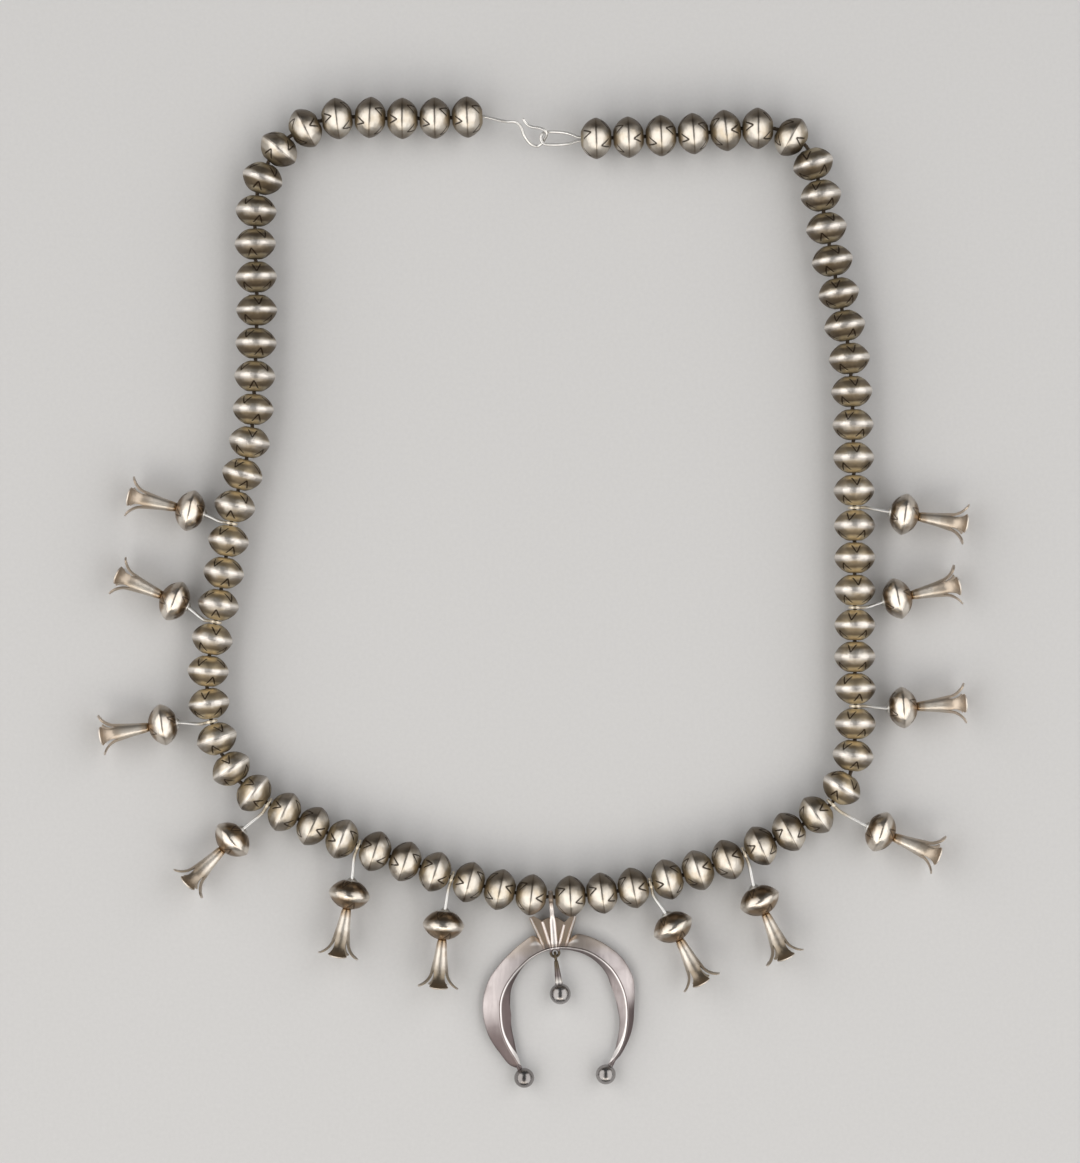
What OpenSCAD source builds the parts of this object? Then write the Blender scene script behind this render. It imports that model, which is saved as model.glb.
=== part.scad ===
// Squash blossom necklace, lying fastened on a flat surface.
// Hollow silver beads on a thread, twelve blossoms on shanks, a crescent naja
// with a drop inside it, and a hook and eye. Millimetres, +Z up, surface at z = 0.

/* [Beads] */
// Diameter of a bead over its soldered seam
bead_d = 12.2; // [11:0.1:13]
// Length of a bead from end to end
bead_l = 8.9; // [8.6:0.1:10]
// Thickness of the silver sheet of beads and blossoms
sheet_t = 0.5; // [0.4:0.05:0.7]
// Diameter of the hole through a bead
hole_d = 2.4; // [2.2:0.1:2.8]
// Width of the flat filed ring round a bead's hole
end_ring = 0.8; // [0.6:0.1:1.1]
// Height of the soldered seam over the two domes of a bead
seam_rise = 0.05; // [0.05:0.05:0.3]
// Width of the soldered seam
seam_w = 0.7; // [0.4:0.1:1.2]
// Number of beads on each half of the string
beads_per_side = 36; // [33:1:38]
// Space between two beads on a straight stretch
bead_gap = 0.5; // [0.3:0.05:0.8]
// Play on each side of a shank or loop that hangs between two beads
play = 0.18; // [0.14:0.01:0.3]
// Diameter of the thread
thread_d = 1.2; // [0.8:0.1:1.4]

/* [Blossoms] */
// Diameter of a blossom's bead
blossom_d = 12.2; // [11:0.1:13]
// Length of a blossom's bead along the blossom
blossom_l = 8.7; // [8:0.1:10]
// From the thread to the middle of a blossom's bead, on average
shank_reach = 14; // [13.5:0.1:16]
// Thickness of a shank's strip along the thread
shank_t = 0.85; // [0.7:0.05:1.1]
// Height of a shank's strip
shank_h = 2.4; // [1.8:0.1:3]
// Diameter of the eye at the end of a shank
eye_d = 3.8; // [3.6:0.1:4]
// Diameter of the hole in that eye
eye_hole_d = 1.9; // [1.8:0.05:2.2]
// Diameter of the trumpet where it leaves the bead
tube_d = 2; // [1.8:0.1:2.4]
// Diameter of the collar round the trumpet's foot
collar_d = 2.6; // [2.5:0.1:3.2]
// Height of that collar
collar_h = 0.6; // [0.4:0.1:1]
// Diameter of the trumpet where its petals part
throat_d = 4.3; // [3.6:0.1:5]
// Length of the trumpet from the bead to the petal tips
trumpet_l = 14; // [12:0.1:16]
// Length of the petals along the trumpet
petal_l = 5.2; // [4:0.1:6]
// Diameter over the petal tips
petal_d = 11.6; // [10:0.1:12]
// Width of the slit between two petals at their tips
petal_slit = 2.8; // [1.5:0.1:3.5]

/* [Naja] */
// Radius of the crescent, from its middle to its outer edge
naja_r = 22.3; // [21.5:0.1:26]
// From the thread to the middle of the crescent
naja_hang = 31.4; // [31:0.1:36]
// Height of the crescent's ridge over its flat back
naja_t = 2.6; // [2:0.1:3.4]
// Height of the crescent's walls at its two edges
naja_wall = 0.8; // [0.5:0.1:1.1]
// Height of the crescent's back over the surface
naja_lift = 1.6; // [1.3:0.1:1.8]
// Diameter of the balls at the crescent's tips
tip_d = 5.8; // [5:0.1:6.4]
// Width of the loop that the thread runs through
loop_w = 1.3; // [1:0.1:1.8]
// Diameter of that loop
loop_d = 3.9; // [3.6:0.1:4.2]
// Width of the bar up the middle of the fan
bar_w = 2; // [1.8:0.1:2.6]
// Height of the fan's rays over its plate, at the middle of their length
ray_rise = 0.8; // [0.4:0.1:1]
// Thickness of the fan's plate
fan_t = 1.1; // [0.8:0.1:1.2]
// Diameter of the drop's ball
drop_d = 6.1; // [5:0.1:7]
// From the drop's ring to the middle of its ball
drop_l = 10.9; // [10:0.1:12]
// Diameter of the drop's rod at its ring
rod_d = 1.1; // [0.9:0.1:1.4]
// Diameter of the drop's rod at its foot
rod_foot_d = 2.3; // [1.8:0.1:3]
// Middle diameter of the drop's ring and of the ring that holds it
link_d = 2.4; // [2.2:0.1:2.8]
// Wire diameter of these two rings
link_wire = 0.8; // [0.6:0.05:0.9]

/* [Clasp] */
// Wire diameter of the hook and of the eye
clasp_wire = 0.8; // [0.7:0.05:0.9]
// Width of the eye's long loop, between the middles of its wires
clasp_eye_w = 3.7; // [3.5:0.1:4.2]
// Width of the hook's bend along the string
hook_w = 7.2; // [7:0.1:8]
// How far the clasp hangs below the thread's height
clasp_low = 1.4; // [1:0.1:1.8]

/* [Hidden] */

// The way of the string on the surface, from the hook round to the eye
WAY = [
    [-15.5, 138], [-29, 137.5], [-48, 137.5], [-57.5, 138], [-67, 135], [-75, 129], [-79.5, 120.5],
    [-81.5, 111], [-81, 82], [-82, 54], [-83, 43], [-87.5, 25], [-92, -3], [-94, -14], [-95.5, -23.5],
    [-95, -33], [-93, -42.5], [-89, -51], [-82.5, -58.5], [-74, -63.3], [-57, -71.5], [-38.5, -78],
    [-20.5, -84], [-2, -88], [9, -88.5], [28, -86], [46.5, -81], [65, -73.8], [82, -64.6],
    [89.3, -57], [92.3, -48], [92.5, -19], [92.3, 30], [91, 68], [85.8, 97], [82.4, 116.3], [80.4, 126.5],
    [75, 133], [65.5, 134.8], [46.5, 133], [27, 132], [13, 131.5]];
// Middle of the whole necklace in the same measure, which the frame's origin lies under
middle = [-0.71, -0.14];
// How much wider the spaces between beads are where the string lies slack, and
// narrower where it is pushed together, as shares of the space, by the place
// counted from the string's nearer end
SLACK = [[7, 0], [9, 0.4], [16, 0.4], [18, 0], [21, 0], [22, -0.36], [35, -0.36], [36, 0]];

// Each blossom: its place counted from the naja, the turns of its shank and of
// the blossom from square to the string, its reach as a share, its own roll
BLOSSOM = [[-6, -7, -3, 0.89, 10], [-5, -17, -14, 0.95, -8], [-4, -9, -3, 1.00, 6],
           [-3, -13, -13, 1.05, -12], [-2, 10, 10, 1.03, 0], [-1, 7, 12, 1.00, 8],
           [1, 14, 14, 1.00, -10], [2, -5, 1, 1.03, 5], [3, 13, 21, 1.17, -6],
           [4, -2, 4, 0.98, 12], [5, 12, 13, 0.90, -5], [6, -8, -10, 1.04, 9]];
PLACE = 0;
SHANK_TURN = 1;
TURN = 2;
REACH = 3;
ROLL = 4;
// Beads between two blossoms
blossom_every = 3;

// Sections of the crescent: angle round its middle, then its outer edge, ridge
// and inner edge as shares of its radius, and the ridge's height as a share
CRESCENT = [
    [232, 1.00, 0.935, 0.91, 0.6], [226, 1.02, 0.895, 0.85, 0.75], [214, 1.00, 0.85, 0.745, 0.9],
    [200, 1.005, 0.81, 0.68, 1], [186, 1.00, 0.775, 0.635, 1], [172, 0.99, 0.76, 0.635, 1],
    [158, 0.97, 0.735, 0.65, 0.95], [144, 0.935, 0.71, 0.655, 0.9], [130, 0.92, 0.70, 0.67, 0.85],
    [118, 0.93, 0.71, 0.69, 0.8], [107, 0.955, 0.72, 0.70, 0.75], [100, 0.82, 0.73, 0.71, 0.7],
    [90, 0.78, 0.74, 0.715, 0.7], [79, 0.82, 0.75, 0.715, 0.7], [70, 0.95, 0.76, 0.72, 0.75],
    [58, 0.97, 0.785, 0.73, 0.85], [44, 0.995, 0.805, 0.735, 0.95], [30, 1.025, 0.83, 0.735, 1],
    [16, 1.03, 0.85, 0.72, 1], [4, 1.00, 0.87, 0.735, 1], [-8, 0.985, 0.89, 0.765, 1],
    [-20, 1.005, 0.92, 0.82, 0.95], [-36, 1.03, 0.975, 0.895, 0.85], [-45, 1.045, 1.00, 0.955, 0.7],
    [-50, 1.045, 1.01, 0.985, 0.6]];
// Balls at the crescent's tips: angle round its middle and distance as a share
TIPS = [[240.5, 1.06], [-60.5, 1.10]];
// Rays of the fan: root across and up, tip across and up, and half width, as
// shares of the fan's half width and height
RAYS = [[-0.43, 0.02, -0.93, 1.00, 0.12], [-0.16, 0.02, -0.44, 0.86, 0.17], [0.16, 0.02, 0.48, 0.72, 0.16],
        [0.46, 0.02, 0.98, 0.96, 0.12]];
// Edge of the fan's plate, across and up in the same shares, without its foot
FAN_EDGE = [[-0.99, 1.00], [-0.80, 1.03], [-0.48, 0.88], [-0.20, 0.95], [0.20, 0.95], [0.52, 0.78],
            [0.86, 0.98], [1.03, 0.95]];
// The hook's bend, as shares of its width: across, up and over the eye's plane
HOOK = [
    [-1.60, 0.66, 0.20], [-1.18, 0.64, 0.12], [-0.96, 0.47, 0.05], [-0.82, 0.12, -0.06],
    [-0.58, -0.20, -0.24], [-0.29, -0.30, -0.30], [-0.12, -0.20, -0.22], [0.02, -0.02, -0.01],
    [0.09, 0.14, 0.16], [0.04, 0.27, 0.24], [-0.20, 0.39, 0.24], [-0.54, 0.45, 0.20],
    [-0.74, 0.58, 0.20], [-0.87, 0.78, 0.25]];

way_steps = 8;
bead_steps = 7;
wire_sides = 6;
thread_sides = 8;
row_steps = 3;
silver = [0.80, 0.78, 0.72];
$fn = 48;

end_r = hole_d / 2 + end_ring;
string_z = max(bead_d, blossom_d, petal_d) / 2;
half = beads_per_side;
n_beads = 2 * beads_per_side;
fan_half = naja_r * 0.3;
fan_foot = naja_r * 0.72;
// The fan's tips stop under the rims of the two beads beside the loop
under_rim = bead_d * 0.037;
fan_h = naja_hang - bead_d / 2 + under_rim - fan_foot;
naja_lean = 6.2;
drop_lean = 3;
// Where the hook holds the eye, between the string's two ends
catch_share = 0.63;
catch_side = -hook_w * 0.29;
catch_z = string_z - clasp_low;
// How far the thread and the clasp's wires stay from the last beads' middles
wire_stop = 0.15;
// How deep soldered pieces sink into each other, and how far cuts run past
sunk = 0.3;
past = 0.5;

function unit(v) = v / norm(v);
function mix(a, b, t) = a + (b - a) * t;

// A smooth curve through a list of points, steps of each stretch
function knots(p) =
    [for (i = 0, s = 0; i < len(p); s = s + (i + 1 < len(p) ? norm(p[i + 1] - p[i]) : 0), i = i + 1) s];
function slope(p, k, i) =
    let (a = max(i - 1, 0), b = min(i + 1, len(p) - 1)) (p[b] - p[a]) / (k[b] - k[a]);
function hermite(a, b, ma, mb, w, t) =
    a * (2 * t ^ 3 - 3 * t ^ 2 + 1) + ma * w * (t ^ 3 - 2 * t ^ 2 + t)
    + b * (3 * t ^ 2 - 2 * t ^ 3) + mb * w * (t ^ 3 - t ^ 2);
function smooth(p, steps) =
    let (k = knots(p))
    [for (i = [0 : len(p) - 2]) for (j = [0 : steps - 1])
        hermite(p[i], p[i + 1], slope(p, k, i), slope(p, k, i + 1), k[i + 1] - k[i], j / steps),
     p[len(p) - 1]];

// Places along the way, by the share of its length from the hook's end
way = smooth(WAY, way_steps);
way_knots = knots(way);
way_l = way_knots[len(way) - 1];
way_x = [for (i = [0 : len(way) - 1]) [way_knots[i] / way_l, way[i][0]]];
way_y = [for (i = [0 : len(way) - 1]) [way_knots[i] / way_l, way[i][1]]];
function way_at(share) = [lookup(share, way_x), lookup(share, way_y)];
function way_dir(share) = unit(way_at(share + 0.25 / n_beads) - way_at(share - 0.25 / n_beads));

// Spaces between the beads, wider in a bend, at a shank and at the naja's loop
function turn_at(g) =
    let (a = way_dir((g - 0.5) / n_beads), b = way_dir((g + 0.5) / n_beads)) acos(min(1, a * b));
function bend_room(g) = let (t = turn_at(g) / 2) 2 * end_r * tan(t) + bead_l * (1 / cos(t) - 1);
function is_blossom(g) =
    let (k = (g - half) / blossom_every) k == round(k) && k != 0 && abs(k) <= len(BLOSSOM) / 2;
function gap(g) =
    g == 0 || g == n_beads ? 0
    : g == half ? loop_w + loop_d * sin(naja_lean) + 2 * play + bend_room(g)
    : is_blossom(g) ? shank_t + 2 * play + bend_room(g)
    : max(bead_gap * (1 + lookup(min(g, n_beads - g), SLACK)), play + bend_room(g));
gaps = [for (g = [0 : n_beads]) gap(g)];
// Distance along the string from the hook's end to the middle of each space
gap_s = [for (g = 0, s = 0; g <= n_beads;
              s = s + gaps[g] / 2 + bead_l + (g < n_beads ? gaps[g + 1] : 0) / 2, g = g + 1) s];
string_l = gap_s[n_beads];
// The loop is as long as what is strung on it
spread = string_l / way_l;
function string_at(s) = (way_at(s / string_l) - middle) * spread;
joint_at = [for (s = gap_s) string_at(s)];

function flat_angle(v) = atan2(v[1], v[0]);
function across(g) = flat_angle(joint_at[g + 1] - joint_at[g - 1]) - 90;
function polar(r, a) = [r * cos(a), r * sin(a)];

// A dome is the cap of a sphere. The sphere's middle lies behind the rim, because
// two caps of a length l and a rim d meet there, and end is the flat end's radius
function cap_back(l, d, end) = ((d / 2) ^ 2 - end ^ 2 - (l / 2) ^ 2) / l;
function cap_r(l, d, end) = norm([d / 2, cap_back(l, d, end)]);
// Radius and length along a dome, from one length to another
function dome(back, r, from, to) =
    [for (i = [0 : bead_steps])
        let (t = mix(asin((from + back) / r), asin((to + back) / r), i / bead_steps))
        [r * cos(t), r * sin(t) - back]];
function flip(p) = [for (i = [len(p) - 1 : -1 : 0]) [p[i][0], -p[i][1]]];

// Outline of a bead's wall, from its hole over both domes
module bead_outline() {
    rim_d = bead_d - 2 * seam_rise;
    back = cap_back(bead_l, rim_d, end_r);
    r = cap_r(bead_l, rim_d, end_r);
    in_r = r - sheet_t;
    hole_r = hole_d / 2;
    upper = dome(back, r, seam_w / 2, bead_l / 2);
    inner = dome(back, in_r, 0, sqrt(in_r ^ 2 - hole_r ^ 2) - back);
    outer_half = concat([[bead_d / 2, seam_w / 6]], upper, [[hole_r, bead_l / 2]]);
    inner_half = [for (i = [len(inner) - 1 : -1 : 1]) inner[i]];
    polygon(concat(flip(outer_half), outer_half, inner_half, [inner[0]], flip(inner_half)));
}

module bead() {
    rotate([0, 90, 0]) rotate_extrude() bead_outline();
}

// Beads number first to last, counted from the hook
module string_of_beads(first, last) {
    color(silver)
        for (k = [first : last]) {
            a = joint_at[k - 1];
            b = joint_at[k];
            mid = (a + b) / 2 + unit(b - a) * (gaps[k - 1] - gaps[k]) / 4;
            translate([mid[0], mid[1], string_z]) rotate(flat_angle(b - a)) bead();
        }
}

// A closed solid through rings of points
module skin(rings) {
    n = len(rings[0]);
    m = len(rings);
    points = [for (r = rings) for (p = r) p];
    sides = [for (i = [0 : m - 2]) for (j = [0 : n - 1])
        let (a = i * n + j, b = i * n + (j + 1) % n, c = b + n, d = a + n) each [[a, d, b], [b, d, c]]];
    start = [for (j = [0 : n - 1]) j];
    end = [for (j = [n - 1 : -1 : 0]) (m - 1) * n + j];
    polyhedron(points = points, faces = concat(sides, [start, end]));
}

// A round wire along points, its rings turned square to its run
module wire(path, d, sides) {
    n = len(path);
    rings = [for (i = [0 : n - 1])
        let (t = unit(path[min(i + 1, n - 1)] - path[max(i - 1, 0)]),
             side = unit(cross(t, [0, 0, 1])),
             up = cross(side, t))
        [for (a = [0 : 360 / sides : 359]) path[i] + d / 2 * (cos(a) * side - sin(a) * up)]];
    skin(rings);
}

function raise(p, z) = [p[0], p[1], z];

module thread() {
    ends = [gap_s[0] + bead_l / 2 + wire_stop, gap_s[n_beads] - bead_l / 2 - wire_stop];
    inner = [for (g = [1 : n_beads - 1]) joint_at[g]];
    path = concat([string_at(ends[0])], inner, [string_at(ends[1])]);
    color([0.35, 0.28, 0.18]) wire([for (p = path) raise(p, string_z)], thread_d, thread_sides);
}

// Outline of half a blossom's wall: bead, trumpet and petals, tips upwards
module blossom_outline() {
    rim_d = blossom_d - 2 * seam_rise;
    back = cap_back(blossom_l, rim_d, 0);
    r = cap_r(blossom_l, rim_d, 0);
    in_cap = r - sheet_t;
    a = blossom_l / 2;
    tube_r = tube_d / 2;
    collar_r = collar_d / 2;
    collar_foot = collar_h / 2;
    collar_top = collar_foot + collar_h;
    petal_t = sheet_t * 0.8;
    in_r = tube_r - petal_t;
    neck_z = sqrt(r ^ 2 - tube_r ^ 2) - back;
    in_neck_z = sqrt(in_cap ^ 2 - in_r ^ 2) - back;
    tip_z = a + trumpet_l;
    part_z = tip_z - petal_l;
    throat_r = throat_d / 2;
    rise = petal_d / 2 - throat_r;
    // The petals' curl: along and out, as shares
    curl = [[0, 0], [0.28, 0.07], [0.54, 0.25], [0.76, 0.52], [0.91, 0.78], [1, 1]];
    outer = [for (c = curl) [throat_r + rise * c[1], part_z + petal_l * c[0]]];
    inner = [for (i = [len(curl) - 1 : -1 : 0])
        let (step = i == 0 ? [1, 0] : curl[i] - curl[i - 1],
             lean = i == 0 ? 0.1 : step[1] * rise / (step[0] * petal_l))
        outer[i] + petal_t * unit([-1, lean])];
    lower = flip(dome(back, r, seam_w / 2, a * 0.999));
    upper = dome(back, r, seam_w / 2, neck_z);
    cave = concat(flip(dome(back, in_cap, 0, (a - sheet_t) * 0.999)),
                  [for (i = [1 : bead_steps]) dome(back, in_cap, 0, in_neck_z)[i]]);
    polygon(concat([[0, -a]], lower, [[blossom_d / 2, -seam_w / 6], [blossom_d / 2, seam_w / 6]], upper,
                   [[collar_r, neck_z + collar_foot], [collar_r, neck_z + collar_top],
                    [tube_r, neck_z + collar_top + collar_r - tube_r]],
                   outer, inner, [[in_r, neck_z + collar_top]],
                   [for (i = [len(cave) - 1 : -1 : 0]) cave[i]], [[0, sheet_t - a]]));
}

// A blossom's bead and trumpet along +X, from the bead's middle
module blossom_body(roll) {
    tip_x = blossom_l / 2 + trumpet_l;
    part_x = tip_x - petal_l;
    foot_w = petal_slit * 0.035;
    end_x = tip_x + past;
    slit = [[part_x, -foot_w], [part_x, foot_w], [end_x, petal_slit / 2], [end_x, -petal_slit / 2]];
    rotate([roll, 0, 0]) difference() {
        rotate([0, 90, 0]) rotate_extrude() blossom_outline();
        for (turn = [45, 135])
            rotate([turn, 0, 0]) linear_extrude(petal_d + 2 * past, center = true) polygon(slit);
    }
}

// One blossom with its shank, soldered into one piece
module blossom(i) {
    row = BLOSSOM[i];
    g = half + row[PLACE] * blossom_every;
    reach = shank_reach * row[REACH];
    square_run = eye_d / 2 + 1.5 * shank_t;
    bead_at = polar(reach, row[SHANK_TURN]);
    body_dir = polar(1, row[TURN]);
    foot = bead_at - body_dir * (blossom_l / 2 - sheet_t * 0.6);
    run = [[0, 0], [square_run, 0], mix([square_run, 0], foot, 0.5), foot];
    color(silver) translate(raise(joint_at[g], string_z)) rotate(across(g)) difference() {
        union() {
            rotate([90, 0, 0]) cylinder(h = shank_t, d = eye_d, center = true);
            strip(run, shank_t, shank_h);
            translate(raise(bead_at, 0)) rotate(row[TURN]) {
                blossom_body(row[ROLL]);
                solder_cone();
            }
        }
        rotate([90, 0, 0]) cylinder(h = shank_t + 2 * past, d = eye_hole_d, center = true);
    }
}

// The solder where a shank meets a blossom's bead
module solder_cone() {
    reach = 0.6 * shank_t;
    deep = 0.8 * sheet_t;
    translate([-blossom_l / 2 - reach, 0, 0])
        rotate([0, 90, 0]) cylinder(h = reach + deep, d1 = shank_t + reach, d2 = shank_h + 2 * reach);
}

// An upright strip of sheet along points on the surface's plane
module strip(run, t, h) {
    n = len(run);
    side = [for (i = [0 : n - 1])
        let (d = unit(run[min(i + 1, n - 1)] - run[max(i - 1, 0)])) [-d[1], d[0]] * t / 2];
    there = [for (i = [0 : n - 1]) run[i] + side[i]];
    back = [for (i = [n - 1 : -1 : 0]) run[i] - side[i]];
    linear_extrude(h, center = true) polygon(concat(there, back));
}

// A ring of round wire lying in the XY plane
module ring(mid_d, wire_d) {
    rotate_extrude() translate([mid_d / 2, 0]) circle(d = wire_d, $fn = 24);
}

// A tapered round rod between two places
module rod(a, b, d_a, d_b) {
    v = b - a;
    translate(a) rotate([0, acos(v[2] / norm(v)), flat_angle(v)]) cylinder(h = norm(v), d1 = d_a, d2 = d_b);
}

// The crescent's sections, smoothed between the rows of its table
module crescent() {
    rows = smooth_rows(CRESCENT, row_steps);
    skin([for (r = rows)
        let (o = r[1] * naja_r, m = r[2] * naja_r, n = r[3] * naja_r, top = r[4] * naja_t,
             wall = min(naja_wall, top * 0.6), c = polar(1, r[0]))
        [raise(c * o, 0), raise(c * o, wall), raise(c * m, top), raise(c * n, wall), raise(c * n, 0)]]);
}

function smooth_rows(rows, steps) =
    [for (i = [0 : len(rows) - 2]) for (j = [0 : steps - 1])
        hermite(rows[i], rows[i + 1], row_slope(rows, i), row_slope(rows, i + 1), 1, j / steps),
     rows[len(rows) - 1]];
function row_slope(rows, i) =
    i == 0 || i == len(rows) - 1 ? rows[0] * 0
    : [for (c = [0 : len(rows[0]) - 1])
        let (a = rows[i][c] - rows[i - 1][c], b = rows[i + 1][c] - rows[i][c])
        a * b <= 0 ? 0 : 2 * a * b / (a + b)];

// A ray of the fan: a roof with its ridge in the middle, level with a plane below
module ray(root, tip, half_w, rise_root, rise_tip) {
    d = unit(tip - root);
    s = [-d[1], d[0]] * half_w;
    skin([[raise(root + s, 0), raise(root, rise_root), raise(root - s, 0)],
          [raise(tip + s, 0), raise(tip, rise_tip), raise(tip - s, 0)]]);
}

// Places in the fan, across and up, from shares
function fan_at(across, up) = [across * fan_half, fan_foot + up * fan_h];

module fan() {
    edge = [for (e = FAN_EDGE) fan_at(e[0], e[1])];
    linear_extrude(fan_t) polygon(concat([fan_at(-0.46, 0)], edge, [fan_at(0.5, 0)]));
    root_h = 1.35 * ray_rise + sunk;
    tip_h = 0.65 * ray_rise + sunk;
    translate([0, 0, fan_t - sunk])
        for (r = RAYS) ray(fan_at(r[0], r[1]), fan_at(r[2], r[3] - 0.01), r[4] * fan_half, root_h, tip_h);
}

// The bar up the middle of the fan, which ends in the loop round the thread
module loop_bar() {
    axis_z = string_z - naja_lift;
    foot = ridge_r - naja_t * 0.08;
    rise_at = naja_hang - bead_d / 2 - sunk;
    neck_at = naja_hang - loop_d * 0.82;
    joint = naja_hang - loop_d / 3;
    joint_h = loop_d * 0.28;
    side = [
        [foot, sunk / 3], [rise_at, sunk / 3], [neck_at, axis_z - loop_d * 0.62],
        [joint, axis_z - joint_h], [joint, axis_z + joint_h], [neck_at, axis_z + loop_d * 0.15],
        [rise_at, fan_t + 2.4 * ray_rise], [foot, naja_t * 0.85]];
    rotate([90, 0, 90]) linear_extrude(loop_w, center = true) polygon(side);
    // Wide up to the beads' rounding, slender between the two beads
    intersection() {
        rotate([90, 0, 90]) linear_extrude(bar_w, center = true) polygon(side);
        translate([-bar_w, 0, 0]) cube([2 * bar_w, neck_at - sunk, 2 * string_z]);
    }
    translate([0, naja_hang, axis_z]) rotate([0, 90, 0]) cylinder(h = loop_w, d = loop_d, center = true);
}

// Everything of the naja stands in a frame whose origin is the crescent's middle
module in_naja() {
    translate(raise(joint_at[half], naja_lift)) rotate(across(half) + 90 + naja_lean)
        translate([0, -naja_hang, 0]) children();
}

// Ridge of the crescent below the fan, and the middle of the ring that holds the
// drop, which stands out of the inner edge there
ridge_r = CRESCENT[12][2] * naja_r;
staple = [0, CRESCENT[12][3] * naja_r + link_wire * 0.4 - link_d / 2];
link_z = naja_t * 0.4;

module naja() {
    color([0.74, 0.71, 0.69]) in_naja() difference() {
        union() {
            crescent();
            fan();
            loop_bar();
            translate(raise(staple, link_z)) ring(link_d, link_wire);
            for (k = [0, 1]) {
                end = CRESCENT[k == 0 ? 0 : len(CRESCENT) - 1];
                arm = raise(polar((end[1] + end[3]) / 2 * naja_r, end[0]), end[4] * naja_t / 2);
                ball = raise(polar(TIPS[k][1] * naja_r, TIPS[k][0]), tip_d / 2 - naja_lift);
                translate(ball) sphere(d = tip_d);
                rod(mix(arm, ball, -0.1), ball, naja_t * 0.55, naja_t * 0.65);
            }
        }
        translate([0, naja_hang, string_z - naja_lift])
            rotate([0, 90, 0]) cylinder(h = loop_w + 2 * past, d = eye_hole_d, center = true);
    }
}

module naja_drop() {
    ball_z = drop_d / 2 - naja_lift - link_z;
    ring_foot = [0, -link_d / 2, 0];
    ball = [0, -drop_l, ball_z];
    neck = mix(ring_foot, ball, 1 - (drop_d / 2 - sunk) / (drop_l - link_d / 2));
    color([0.55, 0.53, 0.50]) in_naja() translate(raise(staple, link_z)) rotate(drop_lean)
        translate([0, -link_d / 2, 0]) {
            rotate([0, 90, 0]) ring(link_d, link_wire);
            rod(ring_foot, neck, rod_d, rod_foot_d);
            rod(mix(neck, ball, -0.05), ball, rod_foot_d * 0.6, rod_foot_d * 0.6);
            translate(ball) sphere(d = drop_d);
        }
}

// Where the hook holds the eye
string_start = joint_at[0];
string_end = joint_at[n_beads];
catch = raise(mix(string_start, string_end, catch_share) + [0, catch_side], catch_z);
function in_bead(g, from, depth) = raise(joint_at[g] + unit(joint_at[from] - joint_at[g]) * depth, string_z);

module clasp_hook() {
    inside = in_bead(0, 1, bead_l / 2 - wire_stop);
    mouth = in_bead(0, 1, -past);
    bend = [for (p = HOOK) catch + p * hook_w];
    path = concat([inside, mix(inside, mouth, 0.5)], smooth(concat([mouth], bend), 3));
    color(silver) wire(path, clasp_wire, wire_sides);
}

module clasp_eye() {
    leg = clasp_wire * 0.58;
    r = clasp_eye_w / 2;
    inside = in_bead(n_beads, n_beads - 1, bead_l / 2 - wire_stop);
    mouth = in_bead(n_beads, n_beads - 1, -sunk);
    shoulder = mouth + r * [-1.73, 0.05, -0.1];
    near = catch + [r - hook_w * 0.146, 0, 0];
    nose = [for (a = [100 : 20 : 260]) near + raise(polar(r, a), 0)];
    leg_at = [0, leg, 0];
    wide_at = [0, r, 0];
    half_way = mix(shoulder, near, 0.5);
    upper = [inside + leg_at, mouth + leg_at, shoulder + 0.8 * wide_at, half_way + wide_at];
    lower = [half_way - wide_at, shoulder - 0.8 * wide_at, mouth - leg_at, inside - leg_at];
    color(silver) wire(smooth(concat(upper, nose, lower), 2), clasp_wire, wire_sides);
}

string_of_beads(1, half);  // beads_left
string_of_beads(half + 1, n_beads);  // beads_right
thread();
clasp_hook();
clasp_eye();
naja();
naja_drop();
blossom(0);  // blossom_01
blossom(1);  // blossom_02
blossom(2);  // blossom_03
blossom(3);  // blossom_04
blossom(4);  // blossom_05
blossom(5);  // blossom_06
blossom(6);  // blossom_07
blossom(7);  // blossom_08
blossom(8);  // blossom_09
blossom(9);  // blossom_10
blossom(10);  // blossom_11
blossom(11);  // blossom_12
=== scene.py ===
# %% [markdown]
# # Dressing a squash blossom necklace
# The solids of the necklace are already made to size: two half strings of hollow beads, twelve
# blossoms, the naja with its drop, and the hook and eye that close it. This lesson gives them the
# surface of old worn silver. The frame of solids comes first, and nothing in it is ever moved.

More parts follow.
